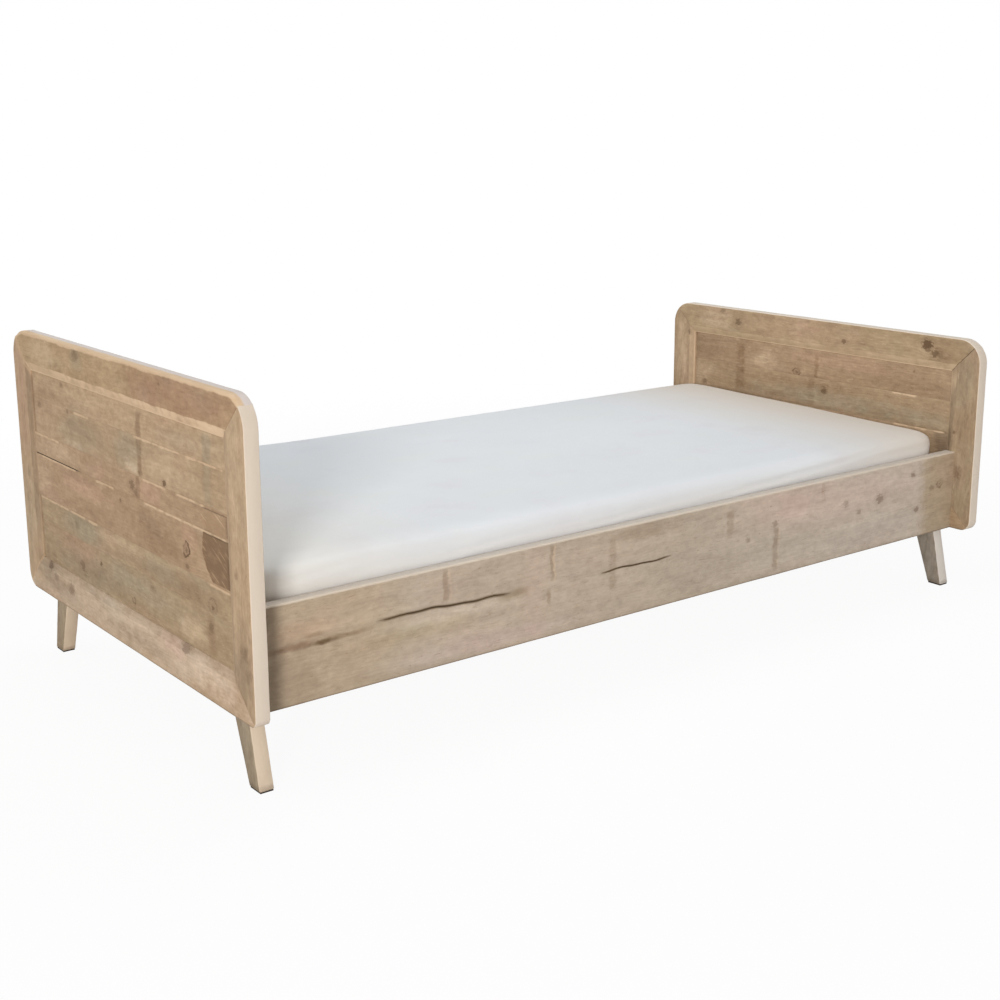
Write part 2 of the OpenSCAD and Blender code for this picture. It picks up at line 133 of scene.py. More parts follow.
def paint(colour):
    """A colour as a screen shows it, 0 to 255, in the shader's linear terms."""
    if isinstance(colour, Value):
        return colour
    parts = [c / 255 for c in colour]
    return [c / 12.92 if c <= 0.04045 else ((c + 0.055) / 1.055) ** 2.4 for c in parts] + [1]


class Shading:
    """A node tree being built."""

    def __init__(self, tree):
        self.tree = tree

    def node(self, kind, settings=None, inputs=None, output=0):
        """Adds a node of any kind: its settings first, then what its sockets take."""
        node = self.tree.nodes.new(kind)
        for key, value in (settings or {}).items():
            setattr(node, key, value)
        pairs = inputs.items() if isinstance(inputs, dict) else enumerate(inputs or [])
        for key, value in pairs:
            if isinstance(value, Value):
                self.tree.links.new(value.socket, node.inputs[key])
            else:
                node.inputs[key].default_value = value
        return Value(self, node.outputs[output])


class Finish(Shading):
    """A material being built, with its shader at hand and the skin laid on so far."""

    def __init__(self, name, roughness=0.7):
        self.material = bpy.data.materials.new(name)
        self.material.use_nodes = True
        super().__init__(self.material.node_tree)
        self.shader = self.tree.nodes["Principled BSDF"]
        self.shader.inputs["Roughness"].default_value = roughness
        self.shader.inputs["Specular IOR Level"].default_value = 0.25

    def place(self):
        """The three coordinates of a point on the object, in metres."""
        point = self.node("ShaderNodeTexCoord", output=3)
        return [self.node("ShaderNodeSeparateXYZ", {}, [point], k) for k in range(3)]

    def vector(self, x, y, z):
        return self.node("ShaderNodeCombineXYZ", {}, [x, y, z])

    def grainy(self, x, y, z, detail=3.0, roughness=0.5):
        """Noise from 0 to 1 with one lump for each unit of the three coordinates."""
        return self.node("ShaderNodeTexNoise", {},
                         {"Vector": self.vector(x, y, z), "Scale": 1.0, "Detail": detail,
                          "Roughness": roughness})

    def speckle(self, pitch, detail=3.0):
        """Noise with as many lumps to the metre along each axis."""
        return self.grainy(*[axis * pitch for axis in self.place()], detail)

    def mix(self, share, first, second):
        return self.node("ShaderNodeMix", {"data_type": "RGBA"},
                         {0: share, 6: paint(first), 7: paint(second)}, 2)

    def lay(self, share, tint):
        """Covers a share of the skin with a tint."""
        self.skin = self.mix(share, self.skin, tint)

    def glaze(self, share, factors):
        """Multiplies a share of the skin, so that its texture still shows."""
        self.skin = self.node("ShaderNodeMix", {"data_type": "RGBA", "blend_type": "MULTIPLY"},
                              {0: share, 6: self.skin, 7: factors}, 2)

    def colour(self, value):
        self.tree.links.new(value.socket, self.shader.inputs["Base Color"])

    def rough(self, value):
        self.tree.links.new(value.socket, self.shader.inputs["Roughness"])

    def relief(self, height, depth, strength=1.0):
        """Bumps up to depth metres high, from a height that runs from 0 to 1."""
        bump = self.node("ShaderNodeBump", {},
                         {"Strength": strength, "Distance": depth, "Height": height})
        self.tree.links.new(bump.socket, self.shader.inputs["Normal"])


old_light = (198, 172, 142)
old_dark = (152, 125, 97)
old_grey = (156, 141, 117)
old_pink = (186, 152, 128)
old_brown = (132, 105, 78)
old_pale = (206, 181, 152)
fresh_light = (224, 198, 166)
fresh_dark = (202, 172, 139)
edge_pale = (218, 205, 188)
knot_dark = (100, 76, 54)
# Dark dirt for the joints, also laid as painted shade in lower arrises, along the sunk bands' edges
# and where the headboard and the mattress shade the wood.
grime_and_shade = (80, 62, 46)


class Wood(Finish):
    """Old softwood whose fibres run along one axis of the bed."""

    grey = old_grey
    pink = old_pink
    contrast = 0.85

    def __init__(self, name, along, across, seed, light=old_light, dark=old_dark):
        super().__init__(name, 0.72)
        self.xyz = dict(zip("xyz", self.place()))
        self.s = self.xyz[along]
        self.t = self.xyz[across]
        self.d = self.xyz[({"x", "y", "z"} - {along, across}).pop()]
        self.seed = seed
        self.light = light
        self.dark = dark
        n = seed * 3.17
        self.ragged = self.grainy(self.s * 55 + n, self.t * 70, self.d * 50, 3.0) - 0.5
        self.uneven = self.grainy(self.s * 17 + n, self.t * 17, self.d * 9, 2.0) - 0.5

    def wash(self, share, tint):
        """Brings the board's mean colour to the tint over a share of its skin."""
        means = [(a + b) / 2 for a, b in zip(paint(self.light), paint(self.dark))]
        self.glaze(share, [t / m for t, m in zip(paint(tint), means)])

    def spot(self, s0, t0, half_s, half_t, soft=0.75):
        """An oval share of the face, with an uneven rim that thins out in wisps."""
        ds = (self.s - s0) / half_s
        dt = (self.t - t0) / half_t
        far = (ds * ds + dt * dt) ** 0.5 + self.uneven * 1.5 + self.ragged * 1.1
        return far.rise(1 + soft, 1 - soft)

    def bar(self, s0, half_s, low, high, soft=0.008):
        """An upright share of the face from low to high, wavy and patchy."""
        sway = self.grainy(self.t * 24 + s0 * 9, self.seed * 1.7, 0.5, 2.0) - 0.5
        off = abs(self.s - s0 + sway * 0.018 + self.ragged * 0.016)
        top = self.t + self.ragged * 0.012
        ends = top.between(low, high, soft)
        patch = (self.uneven + self.ragged * 0.6).rise(-0.34, 0.10) * 0.65 + 0.35
        return off.rise(half_s * 1.6, half_s * 0.5) * ends * patch

    def grain(self, knots, stains=(), bars=(), power=1.0):
        """Lays the skin: fibres that part round the knots, stains, bars, then the knots."""
        s, t, d, n = self.s, self.t, self.d, self.seed * 3.17
        flow = t
        shares = []
        torn = self.grainy(s * 130 + n, t * 210, d * 120, 4.0, 0.7) - 0.5
        for *sizes, kind, strength in knots:
            s0, t0, r = (size / 1000 for size in sizes)
            ds = s - s0
            dt = t - t0
            reach = ((ds / (2.6 * r)) ** 2 + (dt / (1.7 * r)) ** 2) * -1
            swell = reach.math("EXPONENT")
            flow = flow - dt * swell * (0.5 if kind == "soft" else 0.75)
            ds = ds / (1.25 * r)
            dt = dt / r
            far = (ds * ds + dt * dt) ** 0.5 + self.ragged * 1.4 + self.uneven * 1.0
            far = far + torn * (1.2 if kind == "ring" else 2.6)
            if kind == "ring":
                arc = self.grainy(s * 0.55 / r, t * 0.55 / r, n, 1.0).rise(0.36, 0.60)
                ring = abs(far - 0.95).rise(0.36, 0.04) * (arc * 0.85 + 0.15)
                share = ring + far.rise(0.45, 0.15) * 0.45 + far.rise(1.25, 0.5) * 0.18
            elif kind == "soft":
                share = far.rise(1.6, 0.3) * 0.85
            else:
                share = far.rise(1.15, 0.6) * 0.75 + far.rise(2.5, 0.7) * 0.25
            shares.append(share * strength ** 0.72)
        eddy = self.grainy(s * 9 + n, flow * 16, d * 16, 2.0, 0.5) - 0.5
        wander = self.grainy(s * 1.3 + n, flow * 9, d * 9, 2.0)
        bend = flow + eddy * 0.022
        rings = ((bend + wander * 0.07) * 760).math("SINE")
        streaks = self.grainy(s * 5 + n, bend * 34 + n, d * 42, 5.0, 0.64)
        mottle = self.grainy(s * 26 - n, bend * 62, d * 62, 6.0, 0.74)
        blotch = self.grainy(s * 52 + n, t * 74 - n, d * 60, 4.0, 0.66)
        fibres = self.grainy(s * 48 + n, bend * 470, d * 520, 3.0, 0.6)
        tone = (streaks - 0.5) * 1.2 + (mottle - 0.5) * 1.45 + (blotch - 0.5) * 1.05
        tone = tone + (fibres - 0.5) * 0.30 + rings * (streaks * 0.09)
        tone = tone * self.contrast + 0.54
        self.skin = self.mix(tone, self.dark, self.light)
        patches = self.grainy(s * 3.1 - n, t * 7 + n, d * 7, 3.0, 0.55)
        patches = patches + self.ragged * 0.1
        grey = self.grainy(s * 5.2 + n, t * 12 - n, d * 3, 4.0, 0.6)
        self.wash(grey.rise(0.5, 0.72) * 0.3, self.grey)
        self.wash(patches.rise(0.52, 0.72) * 0.35, self.pink)
        self.wash(patches.rise(0.47, 0.28) * 0.3, self.dark)
        wisps = self.grainy(s * 34 - n, bend * 150 + n, d * 90, 4.0, 0.6)
        self.lay(wisps.rise(0.60, 0.74) * 0.34, old_brown)
        self.lay(wisps.rise(0.40, 0.28) * 0.30, old_pale)
        specks = self.grainy(s * 80, flow * 170, d * 120, 3.0, 0.6)
        self.lay(specks.rise(0.66, 0.74) * 0.4, old_brown)
        self.lay(specks.rise(0.34, 0.28) * 0.3, old_pale)
        for shape, marks, k in ((self.spot, stains, 1.0), (self.bar, bars, power)):
            for *sizes, tint, strength in marks:
                self.wash(shape(*[size / 1000 for size in sizes]) * strength ** k, tint)
        if shares:
            knot = shares[0]
            for share in shares[1:]:
                knot = knot.most(share)
            self.lay(knot.least(1.0), knot_dark)
        self.height = fibres * 0.35 + rings * 0.08 + streaks * 0.35 + mottle * 0.4
        self.fibres = fibres
        self.streaks = streaks

    def fresh(self):
        """The same board where the saw or the plane has taken the old skin off."""
        return self.mix(self.streaks.rise(0.3, 0.7) * 0.6 + self.fibres * 0.4,
                        fresh_dark, fresh_light)

    def done(self):
        self.colour(self.skin)
        self.rough(self.fibres * 0.18 + 0.6)
        self.relief(self.height, 0.0010, 0.7)
        return self.material


def smooth(mesh):
    for face in mesh.polygons:
        face.use_smooth = True


def loft(name, loops, material, capped=True, sharp=32):
    """A closed mesh through rings of points that all have the same count."""
    count = len(loops[0])
    mesh = bpy.data.meshes.new(name)
    build = bmesh.new()
    rings = [[build.verts.new(p) for p in loop] for loop in loops]
    for a, b in zip(rings, rings[1:]):
        for k in range(count):
            build.faces.new((a[k], a[(k + 1) % count], b[(k + 1) % count], b[k]))
    if capped:
        build.faces.new(rings[0][::-1])
        build.faces.new(rings[-1])
    bmesh.ops.remove_doubles(build, verts=build.verts, dist=1e-5)
    bmesh.ops.dissolve_degenerate(build, edges=build.edges, dist=1e-5)
    bmesh.ops.recalc_face_normals(build, faces=build.faces)
    build.to_mesh(mesh)
    build.free()
    smooth(mesh)
    mesh.set_sharp_from_angle(angle=radians(sharp))
    mesh.materials.append(material)
    return put(name, mesh)


def waver(x, y, z=0.5):
    """Smooth noise from -1 to 1."""
    return noise.noise(Vector((x, y, z)))


def evenly(low, high, count):
    """Even steps from low to high, both ends in."""
    return [low + (high - low) * k / count for k in range(count + 1)]


def steps(low, high, pitch):
    """Even steps from low to high, both ends in, no longer than pitch."""
    return evenly(low, high, max(1, ceil((high - low) / pitch)))


panel_t = 0.030
member_w = 0.084
bevel_w = 0.017
recess = 0.005
corner_r = 0.060
groove = 0.012
groove_low = 0.0108
slight_rub = 0.002
head_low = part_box("head_bottom_rail")[0][2]
head_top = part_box("head_top_rail")[1][2]
head_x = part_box("head_top_rail")[0][0]
half_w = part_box("head_stile_back")[1][1]


def end_stations(radius):
    """Where a frame board has its rings, from the corner of the panel to the mitre's end."""
    curve = [radius * (1 - cos(radians(45 + 5 * k))) for k in range(10)]
    return curve + steps(radius, member_w - bevel_w, 0.012)[1:] + \
        [0.072, 0.078, member_w - 0.001, member_w]


def frame_board(name, span, side, height, radii, to_bed, material, seed, rub=0.0):
    """A mitred frame board: u runs in from the outer edge and v through the panel."""
    middle = steps(member_w, span - member_w, 0.012)[1:-1]
    stations = end_stations(radii[0]) + middle + \
        [span - s for s in reversed(end_stations(radii[1]))]
    rows = [0.012, 0.018, 0.024, 0.031, 0.038, 0.046, 0.054, 0.061, member_w - bevel_w,
            0.0725, 0.078]
    loops = []
    for s in stations:
        near_end = min(s, span - s)
        radius = radii[0] if s < span / 2 else radii[1]
        lean = max(0.0, radius - near_end)
        outer = radius - sqrt(max(0.0, radius ** 2 - lean ** 2))
        inner = min(member_w, near_end)
        outer += 0.0002 + 0.00025 * waver(s * 9, seed, 8)
        outer = min(outer, inner)
        ease = min(0.0009, 0.45 * (inner - outer))
        slot = max(0.0, min(groove, near_end - (member_w - groove)))

        def face(u, far_side):
            slope = max(0.0, u - (member_w - bevel_w)) / bevel_w
            dip = 0.00030 * (1 + waver(s * 11, u * 40, seed + 20 * far_side))
            return panel_t - recess * slope - dip

        def run(far_side):
            wear = 0.0016 + 0.0007 * waver(s * 14, seed, 3)
            if far_side and rub:
                wear = rub * (1 + 0.35 * waver(s * 16, seed, 5) + 0.2 * waver(s * 45, seed, 6))
            wear = min(wear, 0.45 * (inner - outer))
            across = []
            for k in range(5):
                turn_on = radians(90 * k / 4)
                across.append((outer + wear * (1 - cos(turn_on)),
                               panel_t - wear * (1 - sin(turn_on)) * 0.8 - 0.0003))
            for u in rows:
                u = max(outer + wear, min(u, inner - ease))
                across.append((u, face(u, far_side)))
            across.append((inner - ease, face(inner - ease, far_side)))
            across.append((inner, face(inner, far_side) - ease))
            return across

        front = run(0)
        slot_walls = [(inner, panel_t - groove_low), (inner - slot, panel_t - groove_low),
                      (inner - slot, groove_low), (inner, groove_low)]
        back = [(u, panel_t - v) for u, v in reversed(run(1))]
        loop = []
        for u, v in front + slot_walls + back:
            if side == "bottom":
                across, up = s - span / 2, u
            elif side == "top":
                across, up = span / 2 - s, height - u
            elif side == "back":
                across, up = half_w - u, s
            else:
                across, up = u - half_w, span - s
            loop.append(to_bed(across, up, v))
        loops.append(loop)
    return loft(name, loops, material, capped=False)


def head_to_bed(across, up, v):
    return (head_x + v, across, head_low + up)


def outline_depth(wood, low, high, low_radii):
    """How far outside the rounded outline of a panel a point lies, below 0 inside it."""
    up = wood.xyz["z"] - (low + high) / 2
    at_back = wood.xyz["y"].rise(-0.001, 0.001)
    at_foot = at_back * (low_radii[1] - low_radii[0]) + low_radii[0]
    radius = at_foot + (corner_r - at_foot) * up.rise(-0.001, 0.001)
    side = abs(wood.xyz["y"]) - half_w + radius
    over = abs(up) - (high - low) / 2 + radius
    corner = (side.most(0.0) ** 2 + over.most(0.0) ** 2) ** 0.5
    return corner + side.most(over).least(0.0) - radius


def frame_wood(name, side, seed, low, high, low_radii, knots, stains, bevels, mitres,
               rubbed, edge, tones):
    """Skin of a frame board, with its fresh edges, its bevel and its mitres."""
    along, across = ("y", "z") if side in ("top", "bottom") else ("z", "y")
    wood = Wood(name, along, across, seed, *tones)
    wood.grain(knots, stains)
    cut = wood.fresh()
    middle = (low + high) / 2
    fresh_bevel, fresh_runs, fresh_foot, painted_bevel_shade = bevels
    reach_y = half_w - abs(wood.xyz["y"])
    reach_z = (high - low) / 2 - abs(wood.xyz["z"] - middle)
    inward = reach_y.least(reach_z)
    start = member_w - bevel_w
    on_bevel = (inward + wood.uneven * 0.007 + wood.ragged * 0.003).rise(start - 0.002, start)
    fresh_share = wood.s * 0.0 + fresh_bevel
    for first, last, share in fresh_runs:
        fresh_share = fresh_share + wood.s.between(first, last, 0.03) * (share - fresh_bevel)
    patch = (wood.uneven + wood.ragged).rise(-0.35, 0.15) * 0.5 + 0.5
    wood.lay(on_bevel * fresh_share * patch, cut)
    # Grey glaze over the bevel: painted shade that holds back the light its slope catches.
    wood.glaze(on_bevel * painted_bevel_shade, (0.70, 0.70, 0.70, 1))
    foot = (inward + wood.ragged * 0.0015).rise(member_w - 0.0036, member_w - 0.0022)
    wood.lay(foot * fresh_foot, cut)
    off_mitre = abs(reach_y - reach_z + wood.ragged * 0.003)
    for (sign_y, sign_z), tint, width, share in mitres:
        here = (wood.xyz["y"] * sign_y).rise(0.2, 0.21)
        here = here * ((wood.xyz["z"] - middle) * sign_z).rise(0.05, 0.06)
        off = off_mitre + wood.uneven * width * 2
        wood.lay(off.rise(width, width * 0.3) * here * share, tint)
    out = outline_depth(wood, low, high, low_radii)
    rim = out + wood.uneven * rubbed * 1.4 + wood.ragged * rubbed * 0.5
    shown = 0.25 if side in ("bottom", "back") else 0.85
    wood.lay(rim.rise(-rubbed * 1.1, -rubbed * 0.6) * shown, cut)
    edge_share = out.rise(-0.0018, -0.0006) * 0.75
    if rubbed > slight_rub:
        edge_share = edge_share * (wood.d + wood.ragged * 0.004).rise(head_x + 0.011, head_x + 0.017)
    wood.lay(edge_share, edge)
    # Painted shade along the lower arris.
    painted_shade_at_foot(wood, low)
    return wood.done()


def painted_shade_at_foot(wood, low):
    """Painted shade in the lower arris of a piece that ends at this height."""
    under = (wood.xyz["z"] - low + wood.ragged * 0.001).rise(0.0042, 0.0020)
    wood.lay(under * 0.45, grime_and_shade)


def panel_frame(end, first_seed, low, high, feet, to_bed, looks, mitres, rub=0.0):
    """The four boards of a panel's frame, each with the node that it stands in for."""
    radii = {"top": (corner_r, corner_r), "bottom": feet,
             "front": (corner_r, feet[0]), "back": (feet[1], corner_r)}
    for seed, side in enumerate(radii, first_seed):
        level = side in ("top", "bottom")
        node = f"{end}_{side}_rail" if level else f"{end}_stile_{side}"
        span = 2 * half_w if level else high - low
        rubbed = rub if side == "top" else 0.0
        knots, stains, bevels, edge, tones = (look[side] for look in looks)
        material = frame_wood("old_wood_" + node, side, seed, low, high, feet, knots, stains,
                              bevels, mitres, rubbed or slight_rub, edge, tones)
        yield frame_board("board_" + node, span, side, high - low, radii[side], to_bed,
                          material, seed, rubbed), node


head_knots = {
    "top": [(273, 673, 9, "dark", 0.55), (181, 729, 10, "dark", 0.35),
        (-215, 722, 4, "dark", 0.4)],
    "bottom": [(405, 225, 10, "dark", 0.5), (285, 201, 12, "soft", 0.45),
        (-267, 225, 13, "dark", 0.4), (372, 205, 9, "soft", 0.4)],
    "front": [(421, -487, 6, "dark", 0.25), (529, -467, 3, "dark", 0.5),
        (285, -507, 12, "soft", 0.35), (245, -520, 10, "soft", 0.3)],
    "back": [(420, 495, 10, "soft", 0.3), (720, 500, 6, "soft", 0.3)]}
head_stains = {
    "top": [(-330, 705, 200, 45, (160, 127, 101), 0.8), (175, 722, 30, 25, old_grey, 0.5),
        (370, 705, 60, 30, old_pale, 0.5), (-140, 700, 60, 30, old_brown, 0.15)],
    "bottom": [(0, 200, 600, 60, (198, 178, 156), 0.35), (440, 205, 50, 30, (140, 120, 96), 0.5),
        (330, 180, 90, 18, (148, 128, 104), 0.45), (-50, 180, 140, 16, (150, 126, 100), 0.4),
        (-300, 200, 120, 35, old_pale, 0.2), (-220, 215, 50, 20, old_pink, 0.5),
        (360, 205, 70, 25, old_brown, 0.3), (50, 200, 500, 60, (204, 180, 154), 0.35)],
    "front": [(245, -500, 75, 30, (138, 120, 96), 0.65), (580, -500, 120, 30, old_pale, 0.25)],
    "back": [(600, 500, 100, 30, old_pink, 0.45), (350, 500, 80, 30, old_grey, 0.3)]}
# Each side: the fresh share of the bevel, runs where it is fresher, the fresh share at its foot, and
# the share of painted shade glazed over the bevel.
head_bevels = {"top": (0.8, [(-0.50, 0.30, 0.95), (0.31, 0.44, 0.6)], 0.8, 0.0),
               "bottom": (0.0, [], 0.0, 0.4),
               "front": (0.0, [(0.50, 0.66, 0.3)], 0.45, 0.25),
               "back": (0.0, [(0.235, 0.31, 0.5)], 0.05, 0.9)}
head_edges = {"top": (208, 202, 202), "bottom": edge_pale,
              "front": (212, 202, 190), "back": edge_pale}
head_mitres = [((1, 1), fresh_dark, 0.012, 0.45), ((1, -1), fresh_dark, 0.006, 0.5),
               ((-1, 1), grime_and_shade, 0.0012, 0.2), ((-1, -1), grime_and_shade, 0.0012, 0.25)]
head_tones = {"top": ((195, 168, 134), (149, 122, 90)),
              "bottom": (old_light, old_dark), "front": ((195, 169, 139), old_dark),
              "back": (old_light, old_dark)}
head_looks = (head_knots, head_stains, head_bevels, head_edges, head_tones)
head_rub = 0.0075
head_feet = (0.018, 0.036)
for piece, node in panel_frame("head", 1, head_low, head_top, head_feet, head_to_bed,
                               head_looks, head_mitres, head_rub):
    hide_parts(node)
    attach(piece, "frame")


# Footboard frame: the same four boards round a lower panel. Its inner face is the one
# that shows, and the mitre at the front has opened a hair.
foot_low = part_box("foot_bottom_rail")[0][2]
foot_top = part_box("foot_top_rail")[1][2]
foot_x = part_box("foot_top_rail")[1][0]


def foot_to_bed(across, up, v):
    return (foot_x - v, across, foot_low + up)


foot_knots = {
    "top": [(277, 602, 13, "dark", 0.6), (-111, 590, 6, "dark", 0.6),
        (-375, 612, 13, "dark", 0.95), (-379, 602, 10, "dark", 0.6), (-403, 592, 11, "dark", 0.7),
        (-418, 586, 10, "soft", 0.5), (337, 630, 8, "soft", 0.5)],
    "bottom": [(150, 190, 10, "dark", 0.5), (-300, 200, 12, "ring", 0.5)],
    "front": [(400, -475, 4, "dark", 0.6), (298, -491, 13, "soft", 0.6)],
    "back": [(550, 471, 7, "soft", 0.6), (330, 500, 9, "dark", 0.5)]}
foot_stains = {
    "top": [(360, 605, 60, 30, old_pale, 0.3), (50, 600, 200, 30, old_pink, 0.3),
        (-440, 600, 45, 30, old_brown, 0.45)],
    "bottom": [(0, 190, 200, 30, old_grey, 0.4)],
    # The last front stain is painted shadow where the mattress's foot corner shades the front stile.
    "front": [(520, -490, 50, 30, old_grey, 0.3), (270, -500, 90, 40, old_grey, 0.5),
        (375, -455, 35, 7, grime_and_shade, 0.6)],
    "back": [(500, 500, 100, 30, old_pale, 0.35)]}
# As for the headboard; the last number is painted shade on the bevel.
foot_bevels = {"top": (0.35, [], 0.75, 0.0), "bottom": (0.1, [], 0.1, 0.2),
               "front": (0.0, [(0.50, 0.56, 0.6)], 0.25, 0.35), "back": (0.35, [], 0.5, 0.0)}
foot_mitres = [((-1, 1), grime_and_shade, 0.0018, 0.6), ((1, 1), grime_and_shade, 0.0012, 0.15),
               ((1, -1), grime_and_shade, 0.0012, 0.2), ((-1, -1), grime_and_shade, 0.0012, 0.2)]
foot_edges = dict.fromkeys(foot_bevels, (224, 214, 202))
foot_frame_tones = {"top": ((186, 162, 130), (140, 116, 88)),
                    "bottom": ((182, 156, 125), (136, 110, 83)),
                    "front": ((172, 148, 119), (128, 105, 82)),
                    "back": ((175, 149, 119), (130, 106, 80))}
foot_looks = (foot_knots, foot_stains, foot_bevels, foot_edges, foot_frame_tones)
foot_feet = (0.027, 0.025)
for piece, node in panel_frame("foot", 11, foot_low, foot_top, foot_feet, foot_to_bed,
                               foot_looks, foot_mitres):
    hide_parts(node)
    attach(piece, "frame")


# Boards in the headboard: six old boards of unequal width, tongued into the frame and
# into each other. Two have a sunk band where a steel strap once held the board's end,
# darker and scored by the saw.
tongue_low = 0.011
board_tongue = 0.0062
frame_tongue = 0.0112
board_groove = 0.007
hair = 0.0002
face_half = half_w - member_w
band_l = 0.104
band_bulge = 0.008
band_depth = 0.0012
band_margin = 0.004
band_wedge = 0.6
past_band = 0.130
band_steps = 52


def band_end(t, low, high):
    """How far the sunk band reaches along the board at height t."""
    half = (high - low) / 2 - band_margin
    radius = (half ** 2 + band_bulge ** 2) / (2 * band_bulge)
    off = min(abs(t - (low + high) / 2), half)
    return band_l - radius + sqrt(radius ** 2 - off ** 2)


def in_runs(s, runs, soft=0.008):
    """1 inside any of the runs, 0 outside, with soft ends."""
    best = 0.0
    for start, end in runs:
        inside = min(s - start, end - s)
        best = max(best, min(1.0, max(0.0, inside / soft + 0.5)))
    return best


def filling_board(name, low, high, first, last, to_bed, material, seed, worn, gaps=(),
                  under_gaps=(), banded=False):
    """A board of a panel: u runs up from its lower edge and v through the panel."""
    width = high - low
    base = to_bed(0, 0, 0)[2]
    end_steps = [-face_half - frame_tongue, -face_half - 0.00005]
    body = steps(-face_half, face_half, 0.010)
    if banded:
        body = evenly(-face_half, -face_half + past_band, band_steps)[:-1] + \
            steps(-face_half + past_band, face_half, 0.010)
    stations = end_steps + body + [-e for e in reversed(end_steps)]
    below = frame_tongue if last else board_tongue
    inner_rows = 15 if banded else 8
    loops = []
    for s in stations:
        tongue_only = abs(s) > face_half
        level = 0.00020 * (1 + waver(seed * 5.3, 2)) + hair

        def skin(u, outer):
            cup = 0.0003 * (2 * u / width - 1) ** 2
            dip = 0.0003 * (1 + waver(s * 10, u * 30, seed + (40 if outer else 0)))
            sunk = 0.0
            if banded and outer:
                reach = band_end(low + u, low, high) - (s + face_half)
                reach -= band_wedge * max(0.0, width / 2 - u)
                inside = min(u - band_margin, width - band_margin - u)
                inside = min(inside, reach * 0.5) + 0.0006 * waver(s * 90, u * 90, seed)
                sunk = band_depth * max(0.0, min(1.0, inside / 0.0015))
            return panel_t - recess - level - cup - dip - sunk

        def run(outer):
            rub = in_runs(s, worn) if outer or low > 0.3 else 0.0
            top = hair + 0.0016 * rub * (1 + 0.4 * waver(s * 60, seed, 1)) \
                + 0.0010 * in_runs(s, gaps)
            foot = hair + 0.0014 * in_runs(s, under_gaps)
            side = [(0.0, skin(0, outer) - foot), (0.3 * foot, skin(0, outer) - 0.3 * foot)]
            side += [(u, skin(u, outer)) for u in evenly(foot, width - top, inner_rows)]
            side += [(width - 0.3 * top, skin(width, outer) - 0.3 * top),
                     (width, skin(width, outer) - top)]
            return side

        front = run(False)
        back = [(u, panel_t - v) for u, v in reversed(run(True))]
        rise = frame_tongue if first else -board_groove
        inset = 0 if first else hair
        top_joint = [(width, panel_t - tongue_low + inset),
                     (width + rise, panel_t - tongue_low + inset),
                     (width + rise, tongue_low - inset), (width, tongue_low - inset)]
        low_joint = [(0.0, tongue_low), (-below, tongue_low),
                     (-below, panel_t - tongue_low), (0.0, panel_t - tongue_low)]
        ring = front + top_joint + back + low_joint
        if tongue_only:
            cap = width + frame_tongue if first else width - board_groove
            ring = [(min(u, cap), max(tongue_low, min(panel_t - tongue_low, v)))
                    for u, v in ring]
        loops.append([to_bed(s, low - base + u, v) for u, v in ring])
    return loft(name, loops, material)


def board_wood(name, seed, low, high, knots, stains, bars, worn, tones, gaps=(), band=None):
    """Skin of a filling board, pale where its upper arris is worn."""
    wood = Wood(name, "y", "z", seed, *tones)
    wood.grain(knots, stains, bars, power=0.75)
    cut = wood.fresh()
    if band:
        half = (high - low) / 2 - band_margin
        radius = (half ** 2 + band_bulge ** 2) / (2 * band_bulge)
        off = wood.t - (low + high) / 2
        reach = wood.s + face_half - band_l + off * off / (2 * radius) + wood.ragged * 0.008
        reach = reach + (off * -1).most(0.0) * band_wedge
        tall = (abs(off) + wood.ragged * 0.003).rise(half + 0.0015, half - 0.001)
        inside = reach.rise(0.0020, -0.0015) * tall * wood.d.rise(head_x + 0.012, head_x + 0.010)
        lie = wood.s * 0.55 - wood.t
        scores = wood.grainy(lie * 150, wood.s * 16, wood.d, 3.0, 0.6)
        clouds = wood.grainy(wood.s * 30, wood.t * 50, wood.d, 3.0)
        dark, pale, strength = band
        sunk = wood.mix(scores.rise(0.56, 0.66) * 0.7 + clouds.rise(0.45, 0.75) * 0.4, dark, pale)
        rim = off.rise(half - 0.005, half - 0.0005)
        rim = rim.most(wood.s.rise(-face_half + 0.016, -face_half + 0.003) * 0.7)
        wood.lay(inside * strength, sunk)
        # Painted shadow along the sunk band's edges, where its step shades it.
        wood.lay(inside * rim * 0.6, grime_and_shade)
    arris = (high - wood.t + wood.ragged * 0.0050 + wood.uneven * 0.006).rise(0.0058, 0.0030)
    shown = wood.s * 0.0
    for start, end in worn:
        shown = shown.most(wood.s.between(start, end, 0.006))
    broken = wood.grainy(wood.s * 34, seed * 1.0, 0.0, 2.0).rise(0.36, 0.5) * 0.6 + 0.35
    wood.lay(arris * shown * broken * 0.8, cut)
    seam = (high - wood.t).rise(0.0009, 0.0003).most((wood.t - low).rise(0.0009, 0.0003))
    wood.lay(seam * 0.06, grime_and_shade)
    for start, end, way in gaps:
        edge = (wood.t - (low + high) / 2) * way + wood.ragged * 0.001
        gap = edge.rise((high - low) / 2 - 0.0018, (high - low) / 2 - 0.0008)
        wood.lay(wood.s.between(start + 0.005, end - 0.005, 0.015) * gap, grime_and_shade)
    return wood.done()


def panel_boards(end, seed, to_bed, looks, bands=None, opened=None):
    """The boards of a panel from the top down, each with the node that it stands in for."""
    last = len(looks[0]) - 1
    for k, (knots, stains, bars, worn, tones) in enumerate(zip(*looks)):
        node = f"{end}_board_{k + 1}"
        cad_low, cad_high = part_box(node)
        low = cad_low[2] + (frame_tongue if k == last else board_tongue)
        high = cad_high[2] - (frame_tongue if k == 0 else 0)
        worn = [(start / 1000, stop / 1000) for start, stop in worn]
        over = [open_joint] if k - 1 == opened else []
        under = [open_joint] if k == opened else []
        gaps = [(*run, 1) for run in over] + [(*run, -1) for run in under]
        band = (bands or {}).get(k)
        material = board_wood("old_wood_" + node, seed + k, low, high, knots, stains, bars,
                              worn, tones, gaps, band)
        yield filling_board("old_" + node, low, high, k == 0, k == last, to_bed, material,
                            seed + k, worn, over, under, band is not None), node


